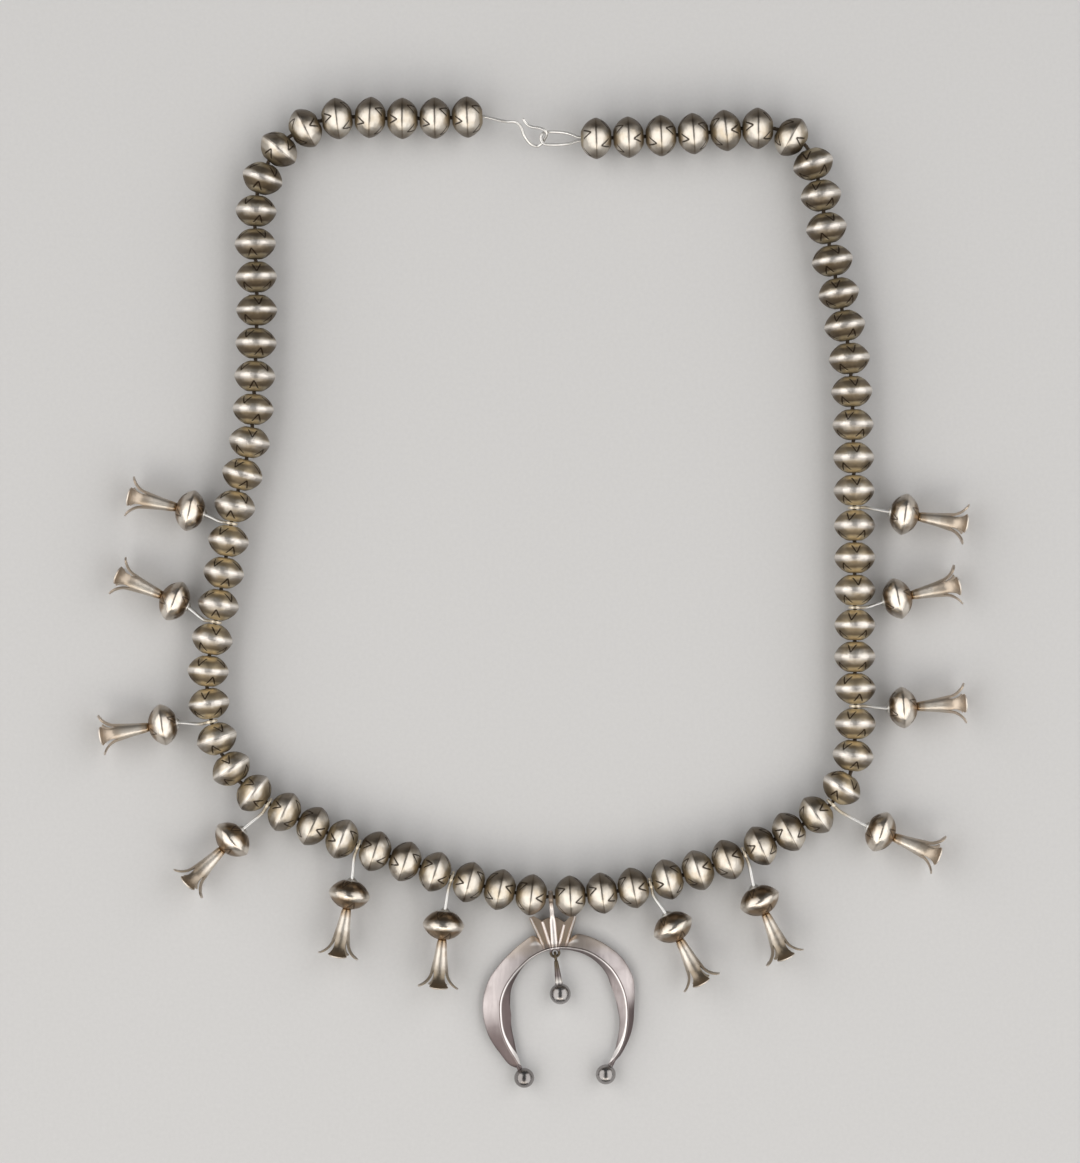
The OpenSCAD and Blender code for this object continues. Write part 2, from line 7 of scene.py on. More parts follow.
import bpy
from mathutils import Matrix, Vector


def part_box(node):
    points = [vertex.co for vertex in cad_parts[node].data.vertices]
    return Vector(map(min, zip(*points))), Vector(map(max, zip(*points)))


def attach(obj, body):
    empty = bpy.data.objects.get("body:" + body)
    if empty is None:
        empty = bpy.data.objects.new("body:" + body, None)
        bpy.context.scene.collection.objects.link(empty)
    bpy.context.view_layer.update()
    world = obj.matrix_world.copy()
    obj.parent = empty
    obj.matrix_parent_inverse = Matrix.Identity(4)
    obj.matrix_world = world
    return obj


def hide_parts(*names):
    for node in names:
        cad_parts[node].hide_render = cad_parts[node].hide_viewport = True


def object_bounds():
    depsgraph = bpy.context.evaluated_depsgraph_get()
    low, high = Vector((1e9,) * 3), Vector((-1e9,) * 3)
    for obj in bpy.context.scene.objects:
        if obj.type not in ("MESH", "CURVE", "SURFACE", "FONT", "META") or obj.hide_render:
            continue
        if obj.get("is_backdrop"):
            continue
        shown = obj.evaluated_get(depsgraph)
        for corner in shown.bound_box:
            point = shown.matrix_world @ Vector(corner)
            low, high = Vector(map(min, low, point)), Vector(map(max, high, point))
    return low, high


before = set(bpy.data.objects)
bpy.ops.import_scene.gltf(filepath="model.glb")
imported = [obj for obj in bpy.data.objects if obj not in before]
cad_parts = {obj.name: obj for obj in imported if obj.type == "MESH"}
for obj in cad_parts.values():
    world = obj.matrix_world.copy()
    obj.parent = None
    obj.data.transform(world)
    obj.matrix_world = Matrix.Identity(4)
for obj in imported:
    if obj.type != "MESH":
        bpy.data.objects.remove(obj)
solid_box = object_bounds()
print("solids:", ", ".join(sorted(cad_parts)))

# %% Modules and the millimetre
import math

import bmesh
import bpy
import numpy as np
from mathutils import Matrix, Vector

MM = 0.001
size = (solid_box[1] - solid_box[0]) / MM
print(f"the necklace is {size.x:.1f} by {size.y:.1f} mm and {size.z:.1f} mm high")

# %% [markdown]
# ## The table, the camera and the light
# The necklace lies flat and is seen from straight above, so a long lens high over the table keeps
# every bead the same size. Polished silver has hardly any colour of its own: it shows the room.
# Two long soft boxes, one on each side, give each bead its two bright lobes. Nothing hangs above,
# so the narrow rim between the lobes stays dark. A dim warm box in front fills the lower domes.

# %% Camera
PICTURE_HIGH = 337.3
CAMERA_UP = 1500
PICTURE_MIDDLE = (1.87, 3.185)
BEAD_MIDDLE = 6.1
SENSOR = 36


def put(name, data):
    """A new object with its data, linked into the scene."""
    made = bpy.data.objects.new(name, data)
    bpy.context.scene.collection.objects.link(made)
    return made


camera = put("camera", bpy.data.cameras.new("camera"))
camera.data.sensor_width = SENSOR
camera.data.lens = SENSOR * (CAMERA_UP - BEAD_MIDDLE) / PICTURE_HIGH
camera.data.clip_start, camera.data.clip_end = 0.01, 20
camera.location = Vector((*PICTURE_MIDDLE, CAMERA_UP)) * MM
bpy.context.scene.camera = camera
print(f"a {camera.data.lens:.0f} mm lens, {CAMERA_UP / 1000} m up")

# %% Soft boxes
def soft_box(name, place, wide, high, power, colour, aim=(0, 0, 0)):
    """A rectangular area light at a place in metres that looks at the aim."""
    light = put(name, bpy.data.lights.new(name, "AREA"))
    light.data.shape = "RECTANGLE"
    light.data.size, light.data.size_y = wide, high
    light.data.energy, light.data.color = power, colour
    light.location = place
    light.rotation_euler = (Vector(aim) - Vector(place)).to_track_quat("-Z", "Y").to_euler()


soft_box("box_left", (-1.15, -0.3, 0.96), 3.6, 1.7, 29, (1.0, 0.975, 0.94), (0, -0.3, 0))
soft_box("box_right", (1.15, -0.3, 0.96), 3.6, 1.7, 27, (1.0, 0.98, 0.955), (0, -0.3, 0))
soft_box("box_front", (0, -1.5, 1.1), 1.8, 0.7, 7, (1.0, 0.93, 0.82))
world = bpy.data.worlds.new("room")
world.use_nodes = True
dim = world.node_tree.nodes["Background"].inputs
dim["Color"].default_value = (0.95, 0.97, 1.0, 1)
dim["Strength"].default_value = 0.10
bpy.context.scene.world = world
bpy.context.scene.view_settings.view_transform = "Standard"
print("three soft boxes and a dim room")

# %% [markdown]
# ## Shader maths
# A finish is a sum of masks: where the metal is rubbed, where it is tarnished, where a stamp has
# bitten. Adding Math nodes by hand hides that sum, so one small class wraps a socket and lets
# Python's operators add the nodes. Every other node comes from its one method, node.

# %% A socket that can be added, multiplied and fed into nodes
class Flow:
    """A socket of a node tree. Operators on it add Math nodes."""

    def __init__(self, tree, socket=None):
        self.tree, self.socket = tree, socket

    def node(self, kind, settings=None, inputs=None, out=0):
        """A new node with its settings made first, then the values or links of its sockets."""
        made = self.tree.nodes.new(kind)
        for key, value in (settings or {}).items():
            setattr(made, key, value)
        for key, value in (inputs or {}).items():
            if isinstance(value, Flow):
                self.tree.links.new(value.socket, made.inputs[key])
            else:
                made.inputs[key].default_value = value
        return Flow(self.tree, made.outputs[out])

    def maths(self, operation, *others, flipped=False):
        """A Math node of this socket and others, which come first if it is flipped."""
        values = (*others, self) if flipped else (self, *others)
        return self.node("ShaderNodeMath", {"operation": operation}, dict(enumerate(values)))

    def __add__(self, other):
        return self.maths("ADD", other)

    def __radd__(self, other):
        return self.maths("ADD", other, flipped=True)

    def __sub__(self, other):
        return self.maths("SUBTRACT", other)

    def __rsub__(self, other):
        return self.maths("SUBTRACT", other, flipped=True)

    def __mul__(self, other):
        return self.maths("MULTIPLY", other)

    def __rmul__(self, other):
        return self.maths("MULTIPLY", other, flipped=True)

    def __truediv__(self, other):
        return self.maths("DIVIDE", other)

    def __rtruediv__(self, other):
        return self.maths("DIVIDE", other, flipped=True)

    def __abs__(self):
        return self.maths("ABSOLUTE")


print("shader maths is ready")

# %% Masks that every finish uses
def rise(value, low, high):
    """0 below low, 1 above high, and a soft step between."""
    ends = {"Value": value, "From Min": low, "From Max": high}
    return value.node("ShaderNodeMapRange", {"interpolation_type": "SMOOTHSTEP"}, ends)


def blend(share, first, second):
    """A colour between two colours, as the share says."""
    mixed = {"data_type": "RGBA"}
    return share.node("ShaderNodeMix", mixed, {"Factor": share, 6: first, 7: second}, out=2)


def coats(colour, *others):
    """A colour under coats of other colours: (share, colour) of each, from the lowest up."""
    for share, other in others:
        colour = blend(share, colour, other)
    return colour


print("masks and coats of colour are ready")

# %% Noise and places
def cloud(place, scale, detail=3, rough=0.55, stretch=(1, 1, 1)):
    """Soft noise between 0 and 1 round about 0.5, finer with a larger scale."""
    mapped = place.node("ShaderNodeMapping", None, {"Vector": place, "Scale": stretch})
    sizes = {"Vector": mapped, "Scale": scale, "Detail": detail, "Roughness": rough}
    return place.node("ShaderNodeTexNoise", None, sizes)


def parts_of(place):
    """The three numbers of a vector."""
    split = place.node("ShaderNodeSeparateXYZ", None, {0: place}).socket.node
    return [Flow(place.tree, s) for s in split.outputs]


def attribute(start, name, out="Vector"):
    """What a mesh notes at each point under a name."""
    return start.node("ShaderNodeAttribute", {"attribute_name": name}, out=out)


def object_place(start):
    """Where a point lies. All pieces lie at the origin, so this is its place on the table."""
    return start.node("ShaderNodeTexCoord", out="Object")


def rgb(red, green, blue):
    return (red, green, blue, 1)


print("a finish can read noise, places and what a mesh notes")

# %% A material from what changes over it and what doesn't
def new_finish(name):
    """An empty metal material, and a Flow to start its nodes from."""
    made = bpy.data.materials.new(name)
    made.use_nodes = True
    return made, Flow(made.node_tree)


def set_finish(made, colour, roughness, height=None, metallic=1.0):
    """Feeds the shader. height is in millimetres and becomes a bump."""
    values = {"Base Color": colour, "Roughness": roughness, "Metallic": metallic}
    if height is not None:
        bump = {"Strength": 1.0, "Distance": MM, "Height": height}
        values["Normal"] = height.node("ShaderNodeBump", None, bump)
    for name, value in values.items():
        socket = made.node_tree.nodes["Principled BSDF"].inputs[name]
        if isinstance(value, Flow):
            made.node_tree.links.new(value.socket, socket)
        else:
            socket.default_value = value


print("materials can be made")

# %% [markdown]
# ## The floor
# A plain pale sheet of paper. Its grain is too fine to see, and only takes the shine off.

# %% Floor
bpy.ops.mesh.primitive_plane_add(size=12)
floor = bpy.context.object
floor.name = "floor"
paper, start = new_finish("floor_paper")
grain = cloud(object_place(start), 900, 2)
pale = blend(grain, rgb(0.62, 0.62, 0.625), rgb(0.67, 0.67, 0.675))
set_finish(paper, pale, 0.9, metallic=0.0)
floor.data.materials.append(paper)
floor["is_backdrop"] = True
print("floor:", floor.name)

# %% [markdown]
# ## Where each bead lies
# A half string is one node of thirty-six loose solids. The triangles that share corners are one
# bead. A bead is shorter along its hole than across, so the spread of its surface tells how it is
# turned. Each piece of this lesson takes its place from such measurements.

# %% The loose solids of a node
def corners(mesh, what="co"):
    """Each corner's place in metres, or its normal, as an array."""
    found = np.empty(len(mesh.vertices) * 3)
    mesh.vertices.foreach_get(what, found)
    return found.reshape(-1, 3)


def solids_of(node):
    """The triangles of each loose solid of a node, as corners in millimetres."""
    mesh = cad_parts[node].data
    mesh.calc_loop_triangles()
    corner = np.empty(len(mesh.loop_triangles) * 3, int)
    mesh.loop_triangles.foreach_get("vertices", corner)
    points, same = np.unique(np.round(corners(mesh) / MM, 3), axis=0, return_inverse=True)
    triangle = same.ravel()[corner].reshape(-1, 3)
    label = np.arange(len(points))
    while True:
        lower = label.copy()
        np.minimum.at(lower, triangle.ravel(), np.repeat(label[triangle].min(1), 3))
        lower = lower[lower]
        if (lower == label).all():
            break
        label = lower
    owner = label[triangle[:, 0]]
    return [points[triangle[owner == k]] for k in np.unique(owner)]


loose = {node: solids_of(node) for node in ("beads_left", "beads_right")}
print("beads:", {node: len(found) for node, found in loose.items()})

# %% Middle and turn of a bead
def bead_place(triangles):
    """The middle of a bead, and the way of its hole on the table."""
    middle = (triangles.min((0, 1)) + triangles.max((0, 1))) / 2
    side = triangles - middle
    area = np.linalg.norm(np.cross(side[:, 1] - side[:, 0], side[:, 2] - side[:, 0]), axis=1)
    flat = side.mean(1)[:, :2]
    spread = (flat * area[:, None]).T @ flat
    return middle, np.linalg.eigh(spread)[1][:, 0]


def in_line(places, start):
    """The places in the order in which they are strung, each next to the one before."""
    left, order, here = list(range(len(places))), [], start
    while left:
        nearest = min(left, key=lambda k: np.linalg.norm(places[k][0][:2] - here))
        left.remove(nearest)
        order.append(places[nearest])
        here = places[nearest][0][:2]
    return order


hook_at = np.array(sum(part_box("clasp_hook"), Vector())[:2]) / 2 / MM
measured = [bead_place(t) for node in loose for t in loose[node]]
beads = in_line(measured, hook_at)
half = len(loose["beads_left"])
for k, (middle, way) in enumerate(beads):
    ahead = beads[min(k + 1, len(beads) - 1)][0] - beads[max(k - 1, 0)][0]
    beads[k] = (middle, way * np.sign(way @ ahead[:2]))
along = (loose["beads_left"][0] - measured[0][0])[..., :2] @ measured[0][1]
BEAD_L = round(float(np.ptp(along)), 2)
BEAD_D = round(float(np.ptp(loose["beads_left"][0][..., 2])), 2)
print(f"a bead is {BEAD_L} mm long and {BEAD_D} mm across")

# %% The joints between the beads
def hole_end(k, side):
    """The middle of a bead's hole at its far end, for side 1, or its near end, for side -1."""
    middle, way = beads[k]
    return np.append(middle[:2] + side * BEAD_L / 2 * way, middle[2])


joints = [(hole_end(k, 1) + hole_end(k + 1, -1)) / 2 for k in range(len(beads) - 1)]
print("joints between beads:", len(joints))

# %% [markdown]
# ## Mesh helpers
# A turned shape is a profile swept round an axis, and a sheet is a grid of points. Both are lists
# of points and faces, and several of them together make one soldered piece.

# %% Grids and turned shapes
def grid(points):
    """Points and quads of a sheet, from rows of points."""
    rows = np.asarray(points, float)
    high, wide = rows.shape[:2]
    at = np.arange(high * wide).reshape(high, wide)
    quads = np.stack([at[:-1, :-1], at[:-1, 1:], at[1:, 1:], at[1:, :-1]], -1).reshape(-1, 4)
    return rows.reshape(-1, 3), quads.tolist()


def about_x(along_x, radius, angle):
    """A point at a distance along X, at a radius and an angle round it."""
    return along_x, -radius * math.sin(angle), radius * math.cos(angle)


def turned(profile, sides):
    """A shape turned round the X axis, from (radius, along) pairs."""
    angles = np.linspace(0, math.tau, sides + 1)
    return grid([[about_x(x, r, a) for a in angles] for r, x in profile])


def together(*shapes):
    """Several shapes as one list of points and faces."""
    points, faces, past = [], [], 0
    for some, quads in shapes:
        points.extend(np.asarray(some).tolist())
        faces.extend([[i + past for i in q] for q in quads])
        past += len(some)
    return points, faces


def capped(rings):
    """A grid of closed rings, with a face over the first and the last."""
    ends = [(ring[:-1], [list(range(len(ring) - 1))]) for ring in (rings[0], rings[-1])]
    return together(grid(rings), *ends)


def moved(shape, matrix):
    """A shape, turned and moved as the matrix says."""
    points = np.asarray(shape[0])
    return points @ np.array(matrix.to_3x3()).T + np.array(matrix.translation), shape[1]


print("sheets and turned shapes can be made")

# %% Notes on a mesh
def note(mesh, name, values):
    """Keeps a number or a vector of each corner, which a finish or a tree reads by its name."""
    values = np.asarray(values, np.float32)
    kind, key = ("FLOAT", "value") if values.ndim == 1 else ("FLOAT_VECTOR", "vector")
    mesh.attributes.new(name, kind, "POINT").data.foreach_set(key, values.ravel())


def note_facing(mesh):
    """Keeps the way each corner faces, which the finishes use to paint shade and highlights."""
    note(mesh, "facing", corners(mesh, "normal"))


def new_mesh(name, points, edges=(), faces=()):
    """A mesh from points in millimetres."""
    mesh = bpy.data.meshes.new(name)
    mesh.from_pydata((np.asarray(points) * MM).tolist(), edges, faces)
    return mesh


print("a mesh can carry notes for its finish")

# %% Pieces
def new_piece(name, shape, sharp=38, places=None):
    """An object from a shape in millimetres, its doubles merged and its normals outwards."""
    mesh = new_mesh(name, shape[0], [], shape[1])
    if places:
        note(mesh, places, shape[0])
    work = bmesh.new()
    work.from_mesh(mesh)
    bmesh.ops.remove_doubles(work, verts=work.verts, dist=1e-6)
    bmesh.ops.dissolve_degenerate(work, edges=work.edges, dist=1e-7)
    bmesh.ops.recalc_face_normals(work, faces=work.faces)
    for face in work.faces:
        face.smooth = True
    for edge in work.edges:
        edge.smooth = len(edge.link_faces) == 2 and edge.calc_face_angle() < math.radians(sharp)
    work.to_mesh(mesh)
    work.free()
    return put(name, mesh)


def made_plain(piece):
    """Turns what a piece's modifiers show into its plain mesh."""
    shown = piece.evaluated_get(bpy.context.evaluated_depsgraph_get())
    mesh = bpy.data.meshes.new_from_object(shown)
    piece.modifiers.clear()
    piece.data = mesh
    return piece


print("pieces can be made")

# %% [markdown]
# ## One bead
# A silversmith domes two discs, drills them, solders them rim to rim, files the seam round and
# the hole's edge flat. So the bead is a turned profile: flat ring, dome, seam, dome, flat ring,
# and the hollow inside. A disc that is domed in a block is a part of a sphere, so the two domes
# meet at an angle. Each point keeps its place in the bead, for the stamps to follow.

# %% Domes and seam
SHEET = 0.5
HOLE_R = 1.2
RING = 0.8
RIM_OUT = 0.01
SEAM_WIDE = 0.9


def cap(length, rim, end):
    """A dome's sphere: how far behind the seam its middle lies, and its radius."""
    back = (rim**2 - end**2 - (length / 2) ** 2) / length
    return back, math.hypot(rim, back)


def dome(sphere, low, high, steps):
    """(radius, along) pairs over a dome, from one distance along it to another."""
    back, radius = sphere
    first, last = (math.asin(min(1, (x + back) / radius)) for x in (low, high))
    turns = np.linspace(first, last, steps)
    return [(radius * math.cos(t), radius * math.sin(t) - back) for t in turns]


def seam(sphere, wide, steps=4):
    """The soldered seam: the ridge where the two domes meet, filed round over a width."""
    back, radius = sphere
    tilt = math.asin((wide / 2 + back) / radius)
    bend = wide / 2 / math.sin(tilt)
    rim = radius * math.cos(tilt) - bend * math.cos(tilt)
    turns = np.linspace(0, tilt, steps, endpoint=False)
    return [(rim + bend * math.cos(t), bend * math.sin(t)) for t in turns]


BEAD_SPHERE = cap(BEAD_L, BEAD_D / 2 + RIM_OUT, HOLE_R + RING)
print(f"the domes are parts of spheres {BEAD_SPHERE[1]:.2f} mm in radius")

# %% Profile of a bead
def both_sides(right):
    """A profile with its mirror image across the seam, where it starts."""
    return [(r, -x) for r, x in right[:0:-1]] + right


def bead_profile():
    """Seam, dome, flat ring, hole and the inside of the dome, and the same on the other side."""
    back, radius = BEAD_SPHERE
    end = BEAD_L / 2
    upper = dome(BEAD_SPHERE, SEAM_WIDE / 2, end - 0.05, 11)
    flat = [(HOLE_R + RING - 0.12, end), (HOLE_R + 0.1, end), (HOLE_R, end - 0.1)]
    deepest = math.sqrt((radius - SHEET) ** 2 - HOLE_R**2) - back
    inner = dome((back, radius - SHEET), 0, deepest, 5)[::-1]
    return both_sides(seam(BEAD_SPHERE, SEAM_WIDE) + upper + flat + inner)


BEAD_SIDES = 44
bead_mesh = new_piece("one_bead", turned(bead_profile(), BEAD_SIDES), places="bead_place")
print("one bead has", sum(len(p.vertices) - 2 for p in bead_mesh.data.polygons), "triangles")

# %% [markdown]
# ## Stringing the beads with Geometry Nodes
# Seventy-two beads follow the same rule: one on each place, turned to the string, rolled round its
# own hole by chance, because round beads roll. Geometry Nodes are made for that. The tree also
# presses the domes in a little here and there, as hand work does, and never outwards, so the beads
# keep clear of each other. It notes a tone on each bead, by chance and by how upright its string
# runs in the picture. The bead silver paints shade and highlights from it: the painted shade round
# the hole reaches further on beads of a higher tone, and upright beads get painted light of their own.

# %% A tree with named inputs
def new_tree(name, sockets):
    """A Geometry Nodes tree with the given inputs, and a Flow from its input node."""
    tree = bpy.data.node_groups.new(name, "GeometryNodeTree")
    tree.interface.new_socket("Geometry", in_out="INPUT", socket_type="NodeSocketGeometry")
    for label, kind in sockets.items():
        tree.interface.new_socket(label, in_out="INPUT", socket_type="NodeSocket" + kind)
    tree.interface.new_socket("Geometry", in_out="OUTPUT", socket_type="NodeSocketGeometry")
    entry = tree.nodes.new("NodeGroupInput")
    return tree, {s.name: Flow(tree, s) for s in entry.outputs if s.name}


def end_tree(geometry, material):
    """Realize Instances, Set Material and the tree's output."""
    real = geometry.node("GeometryNodeRealizeInstances", None, {0: geometry})
    dressed = geometry.node("GeometryNodeSetMaterial", None, {"Geometry": real, "Material": material})
    geometry.tree.links.new(dressed.socket, geometry.tree.nodes.new("NodeGroupOutput").inputs[0])


def run_tree(piece, tree, values):
    """Gives a piece the tree's modifier, sets its inputs and keeps the result as a plain mesh."""
    modifier = piece.modifiers.new(tree.name, "NODES")
    modifier.node_group = tree
    for item in tree.interface.items_tree:
        if item.in_out == "INPUT" and item.name in values:
            modifier[item.identifier] = values[item.name]
    return made_plain(piece)


print("trees can be made")

# %% The stringing tree
string_tree, into = new_tree("string_of_beads", {
    "Bead": "Object", "Seed": "Int", "Dent": "Float", "Dent Size": "Float", "Material": "Material"})
start = into["Geometry"]
number = {"data_type": "FLOAT"}
rolls = {2: 0.0, 3: math.tau, "Seed": into["Seed"]}
chance = start.node("FunctionNodeRandomValue", number, rolls, out=1)
tones = {2: 0.0, 3: 0.4, "Seed": into["Seed"] + 7}
other = start.node("FunctionNodeRandomValue", number, tones, out=1)
way = start.node("GeometryNodeInputNamedAttribute", number, {"Name": "string_turn"})
# A tone by chance, plus how upright the string runs, which picks the bead's painted light and shade
tone_and_upright = other + abs(way.maths("SINE")) * 0.6
toned = start.node("GeometryNodeStoreNamedAttribute", {"data_type": "FLOAT", "domain": "POINT"},
                   {"Geometry": start, "Name": "bead_tone", "Value": tone_and_upright})
rolled = start.node("FunctionNodeAxisAngleToRotation", None, {"Axis": (1, 0, 0), "Angle": chance})
turn = start.node("FunctionNodeAxisAngleToRotation", None, {"Axis": (0, 0, 1), "Angle": way})
both = start.node("FunctionNodeRotateRotation", {"rotation_space": "GLOBAL"}, {0: rolled, 1: turn})
source = start.node("GeometryNodeObjectInfo", None, {"Object": into["Bead"]}, out="Geometry")
strung = start.node("GeometryNodeInstanceOnPoints", None,
                    {"Points": toned, "Instance": source, "Rotation": both})
real = start.node("GeometryNodeRealizeInstances", None, {0: strung})
hollow = start.node("ShaderNodeTexNoise", None, {"Scale": into["Dent Size"], "Detail": 1.0})
depth = hollow * hollow * into["Dent"] * -1.0
normal = start.node("GeometryNodeInputNormal")
push = start.node("ShaderNodeVectorMath", {"operation": "SCALE"}, {0: normal, "Scale": depth})
dented = start.node("GeometryNodeSetPosition", None, {"Geometry": real, "Offset": push})
end_tree(dented, into["Material"])
print("the stringing tree has", len(string_tree.nodes), "nodes")

# %% [markdown]
# ## Bead silver
# Each dome carries four stamped marks, small V shapes that open towards the hole, dark with oxide,
# and the silver turns golden in patches by chance. The rest is painted light and shade: a painted
# bright band along the seam of upright beads, painted shade towards the hole where the beads shade
# each other, painted golden highlights by the holes of upright beads on the faces that look up,
# painted shade on the flanks of upright beads and on faces turned away from the side boxes, and a
# painted dark line along the seam. Each of these is a mask, and the colours lie over each other like
# coats.

# %% Stamps and painted shade
STAMP_LINE = (0.14, 0.38)
STAMP_SHIFT = 0.06


def stamped(place, across, along_way, marks, near, far, spread_):
    """1 in the lines of V stamps: marks of them round the axis, their tips near the seam."""
    angle = across[0].maths("ARCTAN2", across[1])
    radius = (across[0] * across[0] + across[1] * across[1]).maths("SQRT")
    away = abs(along_way)
    ring = (angle / math.tau + along_way.maths("SIGN") * STAMP_SHIFT) * marks
    off = abs((ring.maths("FRACT") - 0.5) * (math.tau / marks) * radius)
    line = off - (away - near) * (spread_ / (far - near))
    thin = 1 - rise(abs(line) + (cloud(place, 0.9, 1) - 0.5) * 0.25, *STAMP_LINE)
    inside = rise(away, near - 0.15, near + 0.05) * (1 - rise(away, far - 0.1, far + 0.15))
    return thin * inside


def facing_shade(start, amount=0.85, middle=0.15):
    """Painted shade by the way a place faces: little on top and at the left and right, where the side
    boxes light it, more on faces turned to the front, the back or downwards.
    """
    _, y, z = parts_of(attribute(start, "facing"))
    uneven = (cloud(object_place(start), 420, 2) - 0.5) * 0.25
    faces_away = rise(abs(y + middle) + uneven, 0.14, 0.78)
    under = 1 - rise(z, -0.25, 0.15)
    return faces_away.maths("MAXIMUM", under) * amount


print("stamps and tarnish can be painted")

# %% Where a bead is rubbed and where it is dark
bead_silver, start = new_finish("bead_silver")
place = attribute(start, "bead_place")
x, y, z = parts_of(place)
tone_and_upright = attribute(start, "bead_tone", "Fac")
room = object_place(start)
away = abs(x)
mark = stamped(place, (y, z), x, 4, 1.5, 3.6, 1.25)
_, up_the_string, _ = parts_of(room)
patchy = cloud(room, 260, 4)
fine = cloud(room, 2600, 3, 0.6)
upright = rise(tone_and_upright, 0.35, 0.65)
# Painted shade towards each hole, where the neighbouring beads shade it: olive on upright beads and
# lighter on the lower part of the table. It reaches further on beads of a higher tone.
near_hole = rise(away + tone_and_upright * (1.1 + upright * 1.72) + (patchy - 0.5) * 1.6, 3.2, 4.2)
lower = 1 - rise(up_the_string, 0.02, 0.09)
facing_x, _, top = parts_of(attribute(start, "facing"))
# Painted golden highlight by the holes of upright beads, on the faces that look up
hole_highlight = rise(away + (patchy - 0.5) * 0.8, 2.7, 3.5) * upright * rise(top, 0.05, 0.32)
# Painted shade on the left and right flanks of upright beads
flank_shade = rise(abs(facing_x), 0.35, 0.75) * rise(away, 0.8, 1.6) * upright
# Painted dark line along the seam, weaker on upright beads; the bump also sinks it a little
painted_seam_line = (1 - rise(away, 0.05, 0.24)) * (1 - upright * 0.7)
gold = rise(patchy + tone_and_upright * 0.3, 0.52, 0.85) * 0.6
# Painted bright band along the seam of upright beads
seam_highlight_band = upright * (1 - rise(away, 0.6, 1.2))
# Painted shade on faces turned away from the side boxes and downwards
turned_away_shade = facing_shade(start, 0.9 - upright * lower * 0.25 - hole_highlight * 0.35, 0.17 - upright * 0.38)
print("the masks take", len(bead_silver.node_tree.nodes), "nodes")

# %% Bead silver, coat by coat
# The metal's own colour, lightened into the painted bright band along the seam of upright beads
base_and_highlight_band = blend(seam_highlight_band, rgb(0.77, 0.72, 0.645), rgb(0.90, 0.85, 0.79))
olive = blend(lower, rgb(0.19, 0.155, 0.11), rgb(0.47, 0.385, 0.26))
colour = coats(
    base_and_highlight_band,
    (gold * (1 - seam_highlight_band), rgb(0.56, 0.45, 0.30)),
    (near_hole * 0.9, blend(upright, rgb(0.31, 0.245, 0.155), olive)),
    (turned_away_shade, rgb(0.095, 0.07, 0.045)),
    (hole_highlight * 0.75, blend(lower, rgb(0.55, 0.48, 0.35), rgb(0.78, 0.67, 0.47))),
    (flank_shade * 0.75, rgb(0.15, 0.115, 0.075)),
    (painted_seam_line * 0.6, rgb(0.10, 0.07, 0.045)),
    (mark * 0.9, rgb(0.03, 0.018, 0.01)))
roughness = 0.35 + fine * 0.08 + near_hole * 0.08 + mark * 0.2
hammered = cloud(room, 620, 2)
height = patchy * 0.10 + hammered * 0.14 + fine * 0.002 - mark * 0.10 - painted_seam_line * 0.02
set_finish(bead_silver, colour, roughness, height)
print("bead silver has", len(bead_silver.node_tree.nodes), "nodes")

# %% Both half strings
DENT = 0.22


def string_beads(name, some, seed):
    """A piece of beads on a part of the string."""
    mesh = new_mesh(name, [middle for middle, way in some])
    note(mesh, "string_turn", [math.atan2(way[1], way[0]) for middle, way in some])
    return run_tree(put(name, mesh), string_tree, {
        "Bead": bead_mesh, "Seed": seed, "Dent": DENT * MM, "Dent Size": 150.0,
        "Material": bead_silver})


for name, some, seed in (("beads_left", beads[:half], 5), ("beads_right", beads[half:], 11)):
    piece = string_beads(name + "_silver", some, seed)
    note_facing(piece.data)
    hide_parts(name)
    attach(piece, "root")
    print(name, "has", len(piece.data.polygons), "faces")
bpy.data.objects.remove(bead_mesh)

# %% [markdown]
# ## Thread and wires
# The thread is three twisted plies, and the hook and eye are plain drawn wire. All of them follow a
# path, so one tree makes them: the path becomes a curve, the curve is twisted, and a ring of points
# is swept along it. A ring that swells and shrinks three times round gives the three plies.

# %% The wire tree
wire_tree, into = new_tree("wire_on_a_path", {
    "Diameter": "Float", "Sides": "Int", "Plies": "Float", "Ply Depth": "Float",
    "Twist": "Float", "Material": "Material"})
start = into["Geometry"]
curve = start.node("GeometryNodeMeshToCurve", None, {"Mesh": start})
length = start.node("GeometryNodeSplineParameter", out="Length")
tilted = start.node("GeometryNodeSetCurveTilt", None, {"Curve": curve, "Tilt": length * into["Twist"]})
circle = start.node("GeometryNodeCurvePrimitiveCircle", None,
                    {"Resolution": into["Sides"], "Radius": into["Diameter"] / 2}, out="Curve")
spot = start.node("GeometryNodeInputPosition")
x, y, _ = parts_of(spot)
wave = (y.maths("ARCTAN2", x) * into["Plies"]).maths("COSINE") - 1
swell = start.node("ShaderNodeVectorMath", {"operation": "SCALE"},
                   {0: spot, "Scale": wave * into["Ply Depth"]})
lobed = start.node("GeometryNodeSetPosition", None, {"Geometry": circle, "Offset": swell})
thin = start.node("GeometryNodeInputNamedAttribute", number, {"Name": "thickness"})
swept = start.node("GeometryNodeCurveToMesh", None,
                   {"Curve": tilted, "Profile Curve": lobed, "Scale": thin, "Fill Caps": True})
smooth = start.node("GeometryNodeSetShadeSmooth", None, {"Geometry": swept})
end_tree(smooth, into["Material"])
print("the wire tree has", len(wire_tree.nodes), "nodes")

# %% Paths
def cubic(t, first, leaving, last, arriving):
    """A place between two others, at a share t, from the slopes at both."""
    return (first * (2 * t**3 - 3 * t**2 + 1) + leaving * (t**3 - 2 * t**2 + t)
            + last * (3 * t**2 - 2 * t**3) + arriving * (t**3 - t**2))


